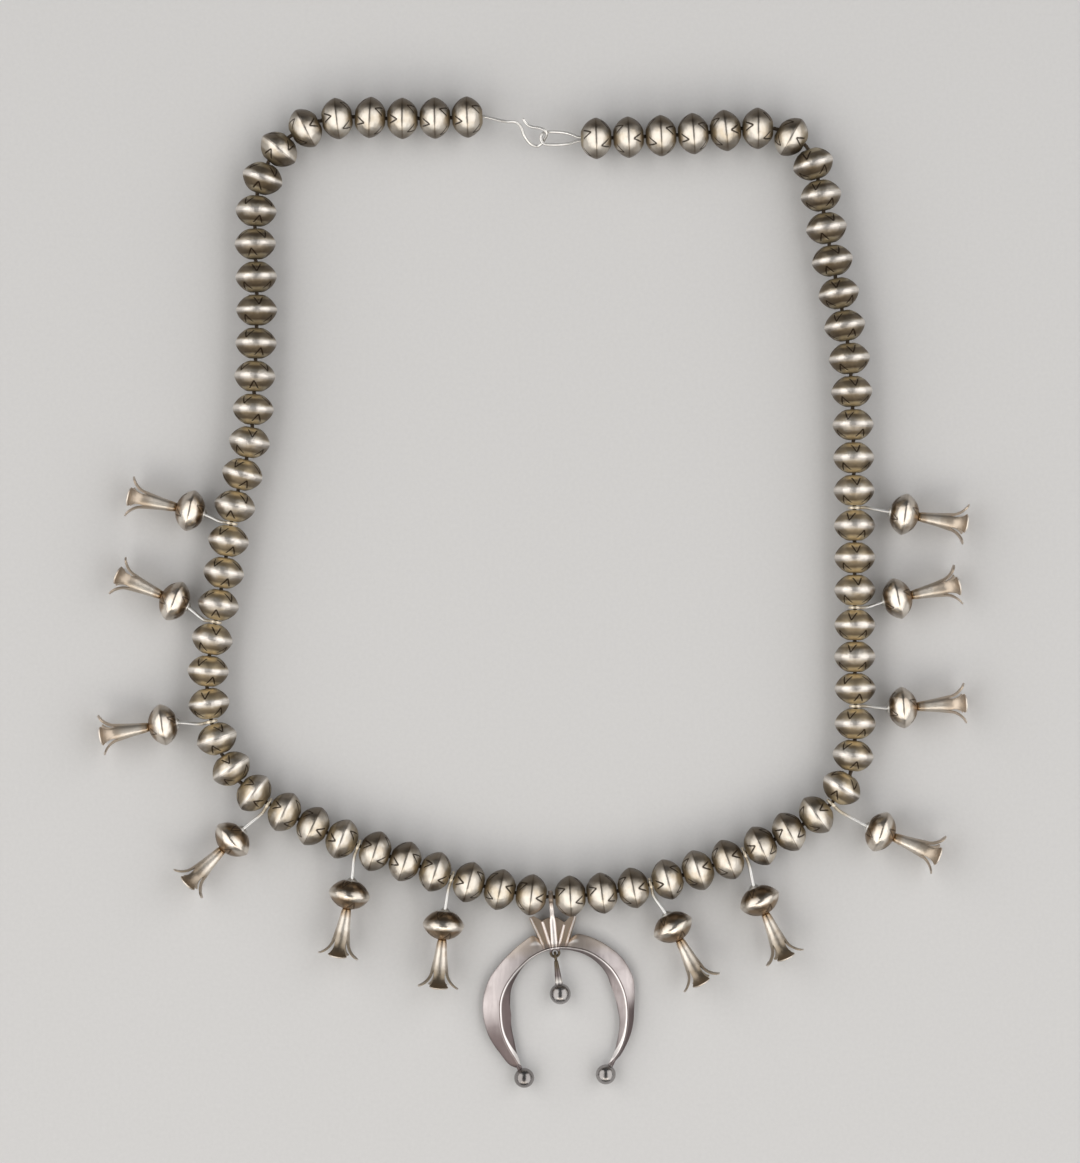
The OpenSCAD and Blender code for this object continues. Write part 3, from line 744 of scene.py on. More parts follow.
def hermite(points, steps):
    """A smooth path through a few points."""
    points = np.asarray(points, float)
    knots = np.append(0, np.cumsum(np.linalg.norm(np.diff(points, axis=0), axis=1)))
    before, after = np.r_[0, 0:len(points) - 1], np.r_[1:len(points), len(points) - 1]
    slope = (points[after] - points[before]) / (knots[after] - knots[before])[:, None]
    path = []
    for i, j in zip(range(len(points)), range(1, len(points))):
        wide = knots[j] - knots[i]
        for t in np.arange(steps) / steps:
            path.append(cubic(t, points[i], slope[i] * wide, points[j], slope[j] * wide))
    return np.array(path + [points[-1]])


def wire(name, path, values, round_ends=0.0):
    """A piece swept along a path in millimetres, its ends rounded over that length."""
    mesh = new_mesh(name, path, [(i, i + 1) for i in range(len(path) - 1)])
    run = np.append(0, np.cumsum(np.linalg.norm(np.diff(path, axis=0), axis=1)))
    left = np.minimum(run, run[-1] - run)
    share = np.clip(left / round_ends, 0, 1) if round_ends else np.ones(len(path))
    note(mesh, "thickness", np.sqrt(1 - (1 - share) ** 2 * 0.96))
    return run_tree(put(name, mesh), wire_tree, values)


print("paths can be swept")

# %% [markdown]
# ## The thread
# Cotton waxed and dark with age. It shows only between two beads and at the loops, so its twist is
# worth more than its colour: soft slanting ridges with darker furrows.

# %% Thread
THREAD_D = 1.2
TWIST_L = 3.6
cotton, start = new_finish("waxed_cotton")
room = object_place(start)
fibre = cloud(room, 3200, 4)
wax = cloud(room, 420, 2)
dark = blend(fibre, rgb(0.03, 0.02, 0.01), rgb(0.12, 0.08, 0.045))
set_finish(cotton, dark, 0.62 + wax * 0.2, fibre * 0.05, 0.0)
inner = [beads[0][0]]
for k, joint in enumerate(joints):
    inner += [hole_end(k, 1), joint, hole_end(k + 1, -1)]
inner.append(beads[-1][0])
thread = wire("thread_cotton", hermite(inner, 3), {
    "Diameter": THREAD_D * MM, "Sides": 12, "Plies": 3.0, "Ply Depth": 0.09,
    "Twist": math.tau / (TWIST_L * MM), "Material": cotton})
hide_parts("thread")
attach(thread, "root")
print("thread:", len(thread.data.polygons), "faces")

# %% [markdown]
# ## The clasp
# A hook bent from wire is caught in a long eye of the same wire. Both lie a little lower than the
# thread, because the beads hold the string up. The hook's bend is a few points given as shares of
# its width, and the eye is wide enough for the hook to swing.

# %% Where the hook holds the eye
WIRE_D = 0.8
EYE_WIDE = 3.7
HOOK_WIDE = 7.2
CLASP_LOW = 1.4
CATCH_SHARE = 0.63
CATCH_SIDE = -0.29
HOOK = [(-1.60, 0.66, 0.20), (-1.18, 0.64, 0.12), (-0.96, 0.47, 0.05), (-0.82, 0.12, -0.06),
        (-0.58, -0.20, -0.24), (-0.29, -0.30, -0.30), (-0.12, -0.20, -0.22), (0.02, -0.02, -0.01),
        (0.09, 0.14, 0.16), (0.04, 0.27, 0.24), (-0.20, 0.39, 0.24), (-0.54, 0.45, 0.20),
        (-0.74, 0.58, 0.20), (-0.87, 0.78, 0.25)]
first, last = hole_end(0, -1), hole_end(len(beads) - 1, 1)
catch = first + (last - first) * CATCH_SHARE + np.array([0, CATCH_SIDE * HOOK_WIDE, -CLASP_LOW])
print("the hook holds the eye at", np.round(catch, 1).tolist())

# %% Wire silver
wire_silver, start = new_finish("wire_silver")
room = object_place(start)
dull = cloud(room, 500, 3)
drawn = cloud(room, 4200, 2)
_, _, up = parts_of(attribute(start, "facing"))
# Pale drawn wire with dull patches, and painted shade on the sides and underside, away from the top
colour = coats(
    rgb(0.93, 0.92, 0.90),
    (rise(dull, 0.55, 0.9), rgb(0.66, 0.61, 0.54)),
    ((1 - rise(up, 0.30, 0.75)) * 0.8, rgb(0.16, 0.13, 0.10)))
set_finish(wire_silver, colour, 0.30 + dull * 0.10, drawn * 0.004)
print("wire silver has", len(wire_silver.node_tree.nodes), "nodes")

# %% Hook
def in_bead(k, side, depth):
    """A place on the string's line, that deep inside the outer end of the first or last bead."""
    return hole_end(k, side) - side * depth * np.append(beads[k][1], 0)


DEEPEST = BEAD_L / 2 - 0.15
straight = [in_bead(0, -1, DEEPEST), in_bead(0, -1, 1.5)]
bent = hermite([in_bead(0, -1, -0.5)] + [catch + np.array(p) * HOOK_WIDE for p in HOOK], 8)
drawn_wire = {"Diameter": WIRE_D * MM, "Sides": 14, "Plies": 1.0, "Ply Depth": 0.0, "Twist": 0.0,
              "Material": wire_silver}
hook = wire("hook_wire", straight + list(bent), drawn_wire, round_ends=0.3)
print("hook:", len(hook.data.polygons), "faces")

# %% Eye
def toward(angle):
    """The way of an angle in degrees, flat on the table."""
    return np.array([math.cos(math.radians(angle)), math.sin(math.radians(angle)), 0])


SHOULDER = np.array([-1.73, 0.05, -0.1])
leg = np.array([0, WIRE_D * 0.58, 0])
wide = np.array([0, EYE_WIDE / 2, 0])
end = len(beads) - 1
inside, mouth = in_bead(end, 1, DEEPEST), in_bead(end, 1, -0.3)
shoulder = mouth + EYE_WIDE / 2 * SHOULDER
near = catch + np.array([EYE_WIDE / 2 - HOOK_WIDE * 0.146, 0, 0])
nose = [near + EYE_WIDE / 2 * toward(a) for a in range(100, 261, 20)]
middle = (shoulder + near) / 2
upper = [inside + leg, mouth + leg, shoulder + 0.8 * wide, middle + wide]
lower = [middle - wide, shoulder - 0.8 * wide, mouth - leg, inside - leg]
eye = wire("eye_wire", hermite(upper + nose + lower, 5), drawn_wire)
for piece, node in ((hook, "clasp_hook"), (eye, "clasp_eye")):
    note_facing(piece.data)
    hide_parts(node)
    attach(piece, "root")
print("eye:", len(eye.data.polygons), "faces")

# %% [markdown]
# ## The blossoms
# All twelve blossoms are made alike, and only the shank is bent differently on each. So the bead
# with its trumpet is built once, in its own frame with +X towards the petals, and the place of each
# blossom is measured from its solid: the bead's rim gives its middle, and the petal tips give the
# way it points and how far it has rolled.

# %% Measuring a blossom
BLOSSOM_D, BLOSSOM_L = 12.2, 8.7
TRUMPET_L, PETAL_L, PETAL_D = 14.0, 5.2, 11.6
EYE_NEAR = 1.25
TIPS_FAR = 20


def blossom_place(node):
    """The joint that holds a blossom, its bead's middle, and the angles of its way and its roll."""
    points = np.unique(solids_of(node)[0].reshape(-1, 3), axis=0)
    joint = min(joints, key=lambda j: np.linalg.norm(points - j, axis=1).min())
    held = points[np.linalg.norm(points - joint, axis=1) < EYE_NEAR].mean(0)
    level = held[2]
    high = points[np.abs(points[:, 2] - level) > BLOSSOM_D / 2 - 0.12]
    bead = high[:, :2].mean(0)
    far = np.linalg.norm(points[:, :2] - bead, axis=1) > BLOSSOM_L / 2 + TRUMPET_L - 0.5
    tips = points[far & (np.linalg.norm(points - held, axis=1) > TIPS_FAR)]
    for _ in range(3):
        way = tips[:, :2].mean(0) - bead
        way /= np.linalg.norm(way)
        across = np.array([-way[1], way[0]])
        run, side = (points[:, :2] - bead) @ way, (points[:, :2] - bead) @ across
        round_ = np.hypot(side, points[:, 2] - level)
        rim = (np.abs(run) < 0.6) & (round_ > BLOSSOM_D / 2 - 0.1)
        bead = bead + way * run[rim].mean() + across * (side[rim].min() + side[rim].max()) / 2
        tips = points[run > run.max() - 0.25]
    up = tips[tips[:, 2] > level + 3]
    roll = -math.atan2(((up[:, :2] - bead) @ across).mean(), (up[:, 2] - level).mean())
    return held, np.append(bead, level), math.atan2(way[1], way[0]), roll


names = [node for node in sorted(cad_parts) if node.startswith("blossom")]
blossoms = {node: blossom_place(node) for node in names}
for node, (held, bead, turn, roll) in blossoms.items():
    print(node, np.round(bead, 1).tolist(), round(math.degrees(turn)), round(math.degrees(roll)))

# %% The blossom's bead and collar
TUBE_R = 1.0
COLLAR_R, COLLAR_H = 1.3, 0.6
COLLAR = [(0.6, -0.6), (0.9, -0.5), (1, -0.25), (1, 0.55), (0.95, 0.85), (0.8, 1.1), (0.6, 1.15)]


def blossom_bead():
    """The closed bead of a blossom, and the collar where the trumpet is soldered on."""
    back, radius = sphere = cap(BLOSSOM_L, BLOSSOM_D / 2 + RIM_OUT, 0)
    right = seam(sphere, SEAM_WIDE) + dome(sphere, SEAM_WIDE / 2, BLOSSOM_L / 2, 16)
    foot = math.sqrt(radius**2 - TUBE_R**2) - back + COLLAR_H / 2
    ring = [(COLLAR_R * r, foot + COLLAR_H * x) for r, x in COLLAR]
    return together(turned(both_sides(right), 48), turned(ring, 28))


print("the blossom's bead has", len(blossom_bead()[1]), "faces")

# %% [markdown]
# ## The petals
# The trumpet is one rolled sheet. Past the throat it is cut into four petals that curl out. In the
# grid, each petal has its own columns: they meet at the throat and draw apart towards the tips,
# whose corners are rounded. Solidify then gives the sheet its thickness inwards.

# %% Trumpet with four petals
THROAT_R = 2.15
SLIT = 2.8
ROUNDED = 0.10
TRUMPET_SHEET = 0.4
ACROSS = np.linspace(-1, 1, 9)
CURL = [(0, 0), (0.28, 0.07), (0.54, 0.25), (0.76, 0.52), (0.91, 0.78), (1, 1)]


def trumpet():
    """The trumpet's outer sheet, from inside the collar to the petal tips."""
    start_x = BLOSSOM_L / 2 + COLLAR_H * 0.9
    part_x = BLOSSOM_L / 2 + TRUMPET_L - PETAL_L
    shape = []
    curl = hermite([(a, b, 0) for a, b in CURL], 3)
    for petal in range(4):
        middle = math.pi / 2 * petal
        rows = []
        for share in np.linspace(0, 1, 9):
            r = TUBE_R + (THROAT_R - TUBE_R) * (0.72 * share + 0.28 * share**2)
            x = start_x + (part_x - start_x) * share
            rows.append([about_x(x, r, middle + f * math.pi / 4) for f in ACROSS])
        for along_, out, _ in curl[1:]:
            row = []
            for f in ACROSS:
                rounded = ROUNDED * abs(f) ** 3
                r = THROAT_R + (PETAL_D / 2 - THROAT_R) * out * (1 - rounded)
                gap = math.asin(min(0.9, SLIT / 2 * (0.04 + 0.96 * along_) / r))
                x = part_x + PETAL_L * along_ * (1 - along_**2 * rounded)
                row.append(about_x(x, r, middle + f * (math.pi / 4 - gap)))
            rows.append(row)
        shape.append(grid(rows))
    return together(*shape)


sheet = new_piece("trumpet_sheet", trumpet(), 60, places="blossom_place")
thick = sheet.modifiers.new("thickness", "SOLIDIFY")
thick.thickness, thick.offset, thick.use_even_offset = TRUMPET_SHEET * MM, -1, True
made_plain(sheet)
print("the trumpet has", len(sheet.data.polygons), "faces")

# %% [markdown]
# ## Shanks
# A strip of silver sheet, bent round the thread into an eye, comes out square to the string and
# then bends towards its bead, where a lump of pale solder holds it.

# %% Bevelled rings and rounded strips
SHANK_T, SHANK_H, EYE_R, EYE_HOLE_R = 0.85, 2.4, 1.9, 0.95
SOLDER = [(0, -0.75), (0.55, -0.7), (0.9, -0.45), (1.35, -0.12), (1.75, 0.18), (1.9, 0.6)]


def washer(hole, rim, half, edge, flat, sides):
    """A bevelled ring round X: its hole's and rim's radius, and half its thickness."""
    upper = [(rim, half * flat), (rim - edge, half), (hole + 0.1, half), (hole, half * 0.8)]
    lower = [(r, -x) for r, x in upper[::-1]]
    return turned(lower + upper + lower[:1], sides)


def strip(path, t, h):
    """An upright strip with rounded edges along a path on the table."""
    path = np.asarray(path)
    ahead = np.gradient(path[:, :2], axis=0)
    side = np.stack([-ahead[:, 1], ahead[:, 0]], 1) / np.linalg.norm(ahead, axis=1)[:, None]
    top = [(0.5, 0.33), (0.45, 0.40), (0.34, 0.452), (0.18, 0.488), (0, 0.5)]
    top += [(-a, b) for a, b in top[-2::-1]]
    ring = top + [(-a, -b) for a, b in top] + top[:1]
    return capped([[np.append(p[:2] + s * a * t, p[2] + b * h) for a, b in ring]
                   for p, s in zip(path, side)])


print(f"a shank's strip is {SHANK_T} by {SHANK_H} mm")

# %% Shank and solder
def shank(held, bead, turn):
    """The eye and the strip of one blossom, as they lie on the table."""
    out = bead - held
    g = min(range(len(joints)), key=lambda k: np.linalg.norm(joints[k] - held))
    run = joints[min(g + 1, len(joints) - 1)] - joints[max(g - 1, 0)]
    run[2] = 0
    run /= np.linalg.norm(run)
    square = np.array([run[1], -run[0], 0])
    square *= np.sign(square @ out)
    way = np.array([math.cos(turn), math.sin(turn), 0])
    foot = bead - way * (BLOSSOM_L / 2 - 0.3)
    bend = held + square * (EYE_R + 1.5 * SHANK_T)
    path = hermite([held + square * EYE_HOLE_R * 1.15, bend, (bend + foot) / 2, foot], 4)
    eye_turn = Matrix.Rotation(math.atan2(run[1], run[0]), 4, "Z")
    rim = washer(EYE_HOLE_R, EYE_R, SHANK_T / 2, 0.12, 0.6, 28)
    return together(moved(rim, Matrix.Translation(held) @ eye_turn), strip(path, SHANK_T, SHANK_H))


def solder():
    """A lump of solder on the bead's end, a little wider than the strip is high."""
    return turned([(r, x - BLOSSOM_L / 2) for r, x in SOLDER], 20)


print("shanks can be made")

# %% [markdown]
# ## Blossom silver
# The same silver as the beads, with gold patches, and less painted shade by the way a place faces.
# The necks by the collar are brown, and the solder is a paler, bluer metal than the rest. The domes
# get painted shade towards their ends and a painted dark line along the seam, and the petals are
# painted light on blossoms that point sideways and painted dark olive on those that point up or down.
# The throats are dark olive, the
# necks by the collar are brown, and the solder is a paler, bluer metal than the rest.

# %% Where a blossom is brown, and where its shade and light are painted
blossom_silver, start = new_finish("blossom_silver")
place = attribute(start, "blossom_place")
x, y, z = parts_of(place)
room = object_place(start)
patchy = cloud(room, 300, 2)
fine = cloud(room, 2600, 2, 0.5)
radius = (y * y + z * z).maths("SQRT")
mark = stamped(place, (y, z), x, 4, 1.9, 3.7, 1.0) * (1 - rise(x, 4.6, 4.9)) * rise(radius, 1.5, 1.8)
tone_and_upright = attribute(start, "bead_tone", "Fac")
collar = rise(x, 3.4, 4.3) * (1 - rise(x, 5.6, 7.2))
# The petals: the tip coat paints them light on blossoms that point sideways and dark on those that
# point up or down
tip = rise(x + (patchy - 0.5) * 4, 9.0, 14.5) * (1 - rise(x, 17.7, 18.1) * 0.8)
away = abs(x)
shank_end = 1 - rise(x, -4.15, -3.85)
# Painted shade towards the ends of the bead's domes, reaching further on blossoms that point up or
# down
dome_end = rise(away + tone_and_upright * 1.7 + (patchy - 0.5) * 1.4, 2.3, 3.4)
dome_end_shade = dome_end * (1 - rise(x, 4.5, 5.2)) * (1 - shank_end)
# Painted dark line along the seam
painted_seam_line = 1 - rise(away, 0.10, 0.42)
tube = rise(x, 4.9, 5.4)
print("the masks take", len(blossom_silver.node_tree.nodes), "nodes")

# %% Blossom silver, coat by coat
shank_tone = blend(1 - rise(x, -12.5, -8.5), rgb(0.90, 0.91, 0.91), rgb(0.70, 0.63, 0.50))
colour = coats(
    rgb(0.84, 0.78, 0.70),
    (rise(patchy, 0.5, 0.75) * 0.4, rgb(0.62, 0.49, 0.35)),
    (dome_end_shade * 0.92, rgb(0.27, 0.185, 0.11)),
    # painted shade by the way a place faces
    (facing_shade(start, 0.45), rgb(0.14, 0.10, 0.065)),
    (collar * 0.55, rgb(0.36, 0.23, 0.11)),
    (tip * 0.8, blend(tone_and_upright, rgb(0.58, 0.475, 0.375), rgb(0.19, 0.145, 0.09))),
    (shank_end * 0.85, shank_tone),
    (painted_seam_line * 0.2, rgb(0.12, 0.08, 0.05)),
    (mark * 0.7, rgb(0.06, 0.04, 0.025)))
roughness = 0.28 + fine * 0.02 + tube * 0.12 + shank_end * 0.12 + mark * 0.2
hammered = cloud(room, 620, 2)
height = patchy * 0.05 + hammered * 0.10 - mark * 0.08 + shank_end * fine * 0.04
set_finish(blossom_silver, colour, roughness, height)
print("blossom silver has", len(blossom_silver.node_tree.nodes), "nodes")

# %% Twelve blossoms
sheet_shape = (corners(sheet.data) / MM, [list(p.vertices) for p in sheet.data.polygons])
own = together(blossom_bead(), solder(), sheet_shape)
for node, (held, bead, turn, roll) in blossoms.items():
    turn_and_roll = Matrix.Rotation(turn, 4, "Z") @ Matrix.Rotation(roll, 4, "X")
    lies = Matrix.Translation(bead) @ turn_and_roll
    whole = together(moved(own, lies), shank(held, bead, turn))
    piece = new_piece(node + "_silver", whole, 42)
    note(piece.data, "blossom_place", moved((corners(piece.data) / MM, []), lies.inverted())[0])
    note_facing(piece.data)
    note(piece.data, "bead_tone", np.full(len(piece.data.vertices), abs(math.sin(turn))))
    piece.data.materials.append(blossom_silver)
    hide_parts(node)
    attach(piece, "root")
bpy.data.objects.remove(sheet)
print("blossoms:", len(blossoms))

# %% [markdown]
# ## The naja
# The crescent was cast in an open mould, so its back is flat and its front is filed to two bevels
# that meet in a ridge. It is swept round its middle with a section that changes: outer edge, ridge
# and inner edge are shares of its radius, and the ridge's height a share of its thickness. Small
# roundings along the edges catch the light as thin bright lines. The two balls at its tips stand
# on the table, so their solids tell how the naja lies.

# %% How the naja lies
NAJA_R, NAJA_HANG, NAJA_T, NAJA_WALL, NAJA_LIFT = 22.3, 31.4, 2.6, 0.8, 1.6
TIP_D = 5.8
TIPS = [(240.5, 1.06), (-60.5, 1.10)]
FOOT_HIGH = 0.35
naja_points = np.unique(solids_of("naja")[0].reshape(-1, 3), axis=0)
low = naja_points[naja_points[:, 2] < FOOT_HIGH][:, :2]
split = low[:, 0].mean()
balls = [(side.min(0) + side.max(0)) / 2 for side in (low[low[:, 0] < split], low[low[:, 0] > split])]
wanted = [NAJA_R * share * toward(angle)[:2] for angle, share in TIPS]
gap_there, gap_here = balls[1] - balls[0], wanted[1] - wanted[0]
naja_turn = math.atan2(gap_there[1], gap_there[0]) - math.atan2(gap_here[1], gap_here[0])
turn_matrix = Matrix.Rotation(naja_turn, 4, "Z")
turned_middle = turn_matrix @ Vector((*((wanted[0] + wanted[1]) / 2), 0))
offset = (balls[0] + balls[1]) / 2 - np.array(turned_middle)[:2]
naja_place = Matrix.Translation((*offset, NAJA_LIFT)) @ turn_matrix
print(f"the naja is turned {math.degrees(naja_turn):.1f} degrees round", np.round(offset, 1).tolist())

# %% The crescent's table
CRESCENT = [
    (232, 1.00, 0.935, 0.91, 0.6), (226, 1.02, 0.895, 0.85, 0.75), (214, 1.00, 0.85, 0.745, 0.9),
    (200, 1.005, 0.81, 0.68, 1), (186, 1.00, 0.775, 0.635, 1), (172, 0.99, 0.76, 0.635, 1),
    (158, 0.97, 0.735, 0.65, 0.95), (144, 0.935, 0.71, 0.655, 0.9), (130, 0.92, 0.70, 0.67, 0.85),
    (118, 0.93, 0.71, 0.69, 0.8), (107, 0.955, 0.72, 0.70, 0.75), (100, 0.82, 0.73, 0.71, 0.7),
    (90, 0.78, 0.74, 0.715, 0.7), (79, 0.82, 0.75, 0.715, 0.7), (70, 0.95, 0.76, 0.72, 0.75),
    (58, 0.97, 0.785, 0.73, 0.85), (44, 0.995, 0.805, 0.735, 0.95), (30, 1.025, 0.83, 0.735, 1),
    (16, 1.03, 0.85, 0.72, 1), (4, 1.00, 0.87, 0.735, 1), (-8, 0.985, 0.89, 0.765, 1),
    (-20, 1.005, 0.92, 0.82, 0.95), (-36, 1.03, 0.975, 0.895, 0.85), (-45, 1.045, 1.00, 0.955, 0.7),
    (-50, 1.045, 1.01, 0.985, 0.6)]
print("the crescent is given by", len(CRESCENT), "sections")

# %% Sections of the crescent
def smooth_rows(rows, steps):
    """Rows of a table with steps between them, without overshooting a row."""
    rows = np.asarray(rows, float)
    step = np.diff(rows, axis=0)
    product = step[:-1] * step[1:]
    total = np.where(product > 0, step[:-1] + step[1:], 1)
    slope = np.vstack([rows[0] * 0, np.where(product > 0, 2 * product / total, 0), rows[0] * 0])
    made = []
    for i, j in zip(range(len(rows)), range(1, len(rows))):
        for t in np.arange(steps) / steps:
            made.append(cubic(t, rows[i], slope[i], rows[j], slope[j]))
    return np.array(made + [rows[-1]])


def section(outer, ridge, inner, top):
    """Points round the crescent's section, from its outer foot over the ridge to its inner foot."""
    wall = min(NAJA_WALL, top * 0.6)
    out_w, in_w = outer - ridge, ridge - inner
    fall = (top - wall) / max(out_w, 0.1)
    edge = min(0.22, out_w * 0.25, wall * 0.5)
    fine = min(0.12, in_w * 0.3)
    points = [(outer, 0), (outer, wall - edge), (outer - edge * 0.3, wall - edge * 0.25),
              (outer - edge, wall + edge * fall * 0.8)]
    for share in (0.25, 0.5, 0.75, 0.93):
        crown = 0.10 * math.sin(math.pi * share) * min(1, out_w / 3)
        points.append((outer - out_w * share, wall + (top - wall) * share + crown))
    points += [(ridge + fine * 0.5, top - 0.02), (ridge, top), (ridge - fine * 0.5, top - 0.03)]
    for share in (0.3, 0.6, 0.85):
        points.append((ridge - in_w * share, top - (top - wall) * share))
    return points + [(inner + fine * 0.3, wall - 0.02), (inner, wall - 0.12), (inner, 0)]


UP = np.array([0, 0, 1])
crescent_rows = smooth_rows(CRESCENT, 5)
rings = []
for angle, outer, ridge, inner, top in crescent_rows:
    ring = section(outer * NAJA_R, ridge * NAJA_R, inner * NAJA_R, top * NAJA_T)
    rings.append([toward(angle) * r + UP * h for r, h in ring + ring[:1]])
crescent = capped(rings)
print("the crescent has", len(crescent[1]), "faces")

# %% [markdown]
# ## The fan and the loop
# Between the crescent and the string stands a fan: a thin plate with four rays, like a hand's
# bones, and a bar up its middle that goes on as the loop round the thread.

# %% Sizes of the fan
FAN_HALF, FAN_FOOT = NAJA_R * 0.3, NAJA_R * 0.72
FAN_H = NAJA_HANG - BEAD_D / 2 + BEAD_D * 0.037 - FAN_FOOT
FAN_T, RAY_UP, BAR_W = 1.1, 0.8, 2.0
LOOP_W, LOOP_D = 1.3, 3.9
RAYS = [(-0.43, 0.02, -0.93, 1.00, 0.12), (-0.16, 0.02, -0.44, 0.86, 0.17),
        (0.16, 0.02, 0.48, 0.72, 0.16), (0.46, 0.02, 0.98, 0.96, 0.12)]
FAN_EDGE = [(-0.99, 1.00), (-0.80, 1.03), (-0.48, 0.88), (-0.20, 0.95), (0.20, 0.95), (0.52, 0.78),
            (0.86, 0.98), (1.03, 0.95)]
print(f"the fan is {FAN_HALF * 2:.1f} mm wide and {FAN_H:.1f} mm high")

# %% Fan
def prism(outline, low, high, bevel=0.12):
    """An upright plate with a small bevel round its top."""
    outline = np.asarray([*outline, outline[0]], float)
    inward = outline[:-1].mean(0) - outline
    inset = outline + inward / np.linalg.norm(inward, axis=1)[:, None] * bevel
    levels = (outline, low), (outline, high - bevel), (inset, high)
    return capped([np.c_[edge, np.full(len(edge), level)] for edge, level in levels])


def roof(root, tip, half_w, root_h, tip_h, low):
    """A ray of the fan: a rounded roof that falls towards its tip."""
    root, tip = np.asarray(root, float), np.asarray(tip, float)
    way = (tip - root) / np.linalg.norm(tip - root)
    side = np.array([-way[1], way[0]])
    ring = [(1, 0), (0.55, 0.5), (0.16, 0.93), (0, 1), (-0.16, 0.93), (-0.55, 0.5), (-1, 0), (1, 0)]
    rings = []
    for share in np.linspace(0, 1, 9):
        at, high = root + (tip - root) * share, root_h + (tip_h - root_h) * share
        rings.append([np.append(at + side * a * half_w, low + b * high) for a, b in ring])
    return capped(rings)


def fan_at(across, up):
    """A place on the fan, from shares of half its width and of its height."""
    return np.array([across * FAN_HALF, FAN_FOOT + up * FAN_H])


SUNK = 0.3
plate = prism([fan_at(-0.46, 0)] + [fan_at(*e) for e in FAN_EDGE] + [fan_at(0.5, 0)], 0, FAN_T)
root_h, tip_h = 1.35 * RAY_UP + SUNK, 0.65 * RAY_UP + SUNK
rays = [roof(fan_at(a, b), fan_at(c, d - 0.01), w * FAN_HALF * 0.72, root_h, tip_h, FAN_T - SUNK)
        for a, b, c, d, w in RAYS]
print("rays in the fan:", len(rays))

# %% Bar and loop
AXIS_Z = BEAD_MIDDLE - NAJA_LIFT


def spine(stations):
    """A bar that runs up the middle: (along, half its width, underside, top) at each station."""
    half_ring = [(1, 0), (1, 0.72), (0.8, 0.92), (0.35, 1)]
    ring = half_ring + [(-a, b) for a, b in half_ring[::-1]] + half_ring[:1]
    return capped([[(a * half_w, y, low + b * (high - low)) for a, b in ring]
                   for y, half_w, low, high in smooth_rows(stations, 4)])


crown_ridge, crown_inner = CRESCENT[12][2] * NAJA_R, CRESCENT[12][3] * NAJA_R
rise_at, neck_at = NAJA_HANG - BEAD_D / 2 - 0.3, NAJA_HANG - LOOP_D * 0.82
foot_at, joint_at = crown_ridge - NAJA_T * 0.08, NAJA_HANG - LOOP_D / 3
bar_top = FAN_T + 2.4 * RAY_UP
bar = spine([
    (foot_at, BAR_W * 0.5, 0.1, NAJA_T * 0.85),
    (rise_at - 0.6, BAR_W * 0.45, 0.1, bar_top - 0.1),
    (rise_at + 0.6, LOOP_W * 0.55, 0.5, bar_top + 0.3),
    (neck_at, LOOP_W / 2, AXIS_Z - LOOP_D * 0.55, AXIS_Z + LOOP_D * 0.12),
    (joint_at, LOOP_W / 2, AXIS_Z - LOOP_D * 0.28, AXIS_Z + LOOP_D * 0.28)])
loop = washer(EYE_HOLE_R, LOOP_D / 2, LOOP_W / 2, 0.2, 0.64, 32)
loop = moved(loop, Matrix.Translation((0, NAJA_HANG, AXIS_Z)))
print("faces of the bar:", len(bar[1]), "and of the loop:", len(loop[1]))

# %% Balls at the tips
def ball(place, d):
    """A turned ball."""
    arc = [(d / 2 * math.sin(t), -d / 2 * math.cos(t)) for t in np.linspace(0, math.pi, 22)]
    return moved(turned(arc, 36), Matrix.Translation(place))


def rod(a, b, d_a, d_b):
    """A round rod that tapers from one place to another."""
    run = Vector(b) - Vector(a)
    swing = run.to_track_quat("X", "Z").to_matrix().to_4x4()
    side = [((d_a + (d_b - d_a) * s) / 2, run.length * s) for s in (0, *np.linspace(0.1, 0.9, 7), 1)]
    profile = [(0, 0), *side, (0, run.length)]
    return moved(turned(profile, 24), Matrix.Translation(a) @ swing)


tips, tip_spots = [], []
for (angle, share), row in zip(TIPS, (CRESCENT[0], CRESCENT[-1])):
    arm = toward(row[0]) * (row[1] + row[3]) / 2 * NAJA_R + UP * row[4] * NAJA_T / 2
    middle = toward(angle) * share * NAJA_R + UP * (TIP_D / 2 - NAJA_LIFT)
    neck = rod(arm - (middle - arm) * 0.1, middle, NAJA_T * 0.55, NAJA_T * 0.65)
    tip_spots.append(middle)
    tips += [ball(middle, TIP_D), neck]
print("the naja ends in", len(TIPS), "balls")

# %% Ring and drop
LINK_D, LINK_WIRE = 2.4, 0.8
DROP_D, DROP_L, ROD_D, ROD_FOOT_D, DROP_LEAN = 6.1, 10.9, 1.1, 2.3, 3


def ring(d, wire_d):
    """A ring of round wire that lies on the table."""
    wire_round = [(math.cos(b), math.sin(b)) for b in np.linspace(0, math.tau, 13)]
    return grid([[toward(a) * (d / 2 + wire_d / 2 * out) + UP * wire_d / 2 * up
                  for out, up in wire_round] for a in np.linspace(0, 360, 33)])


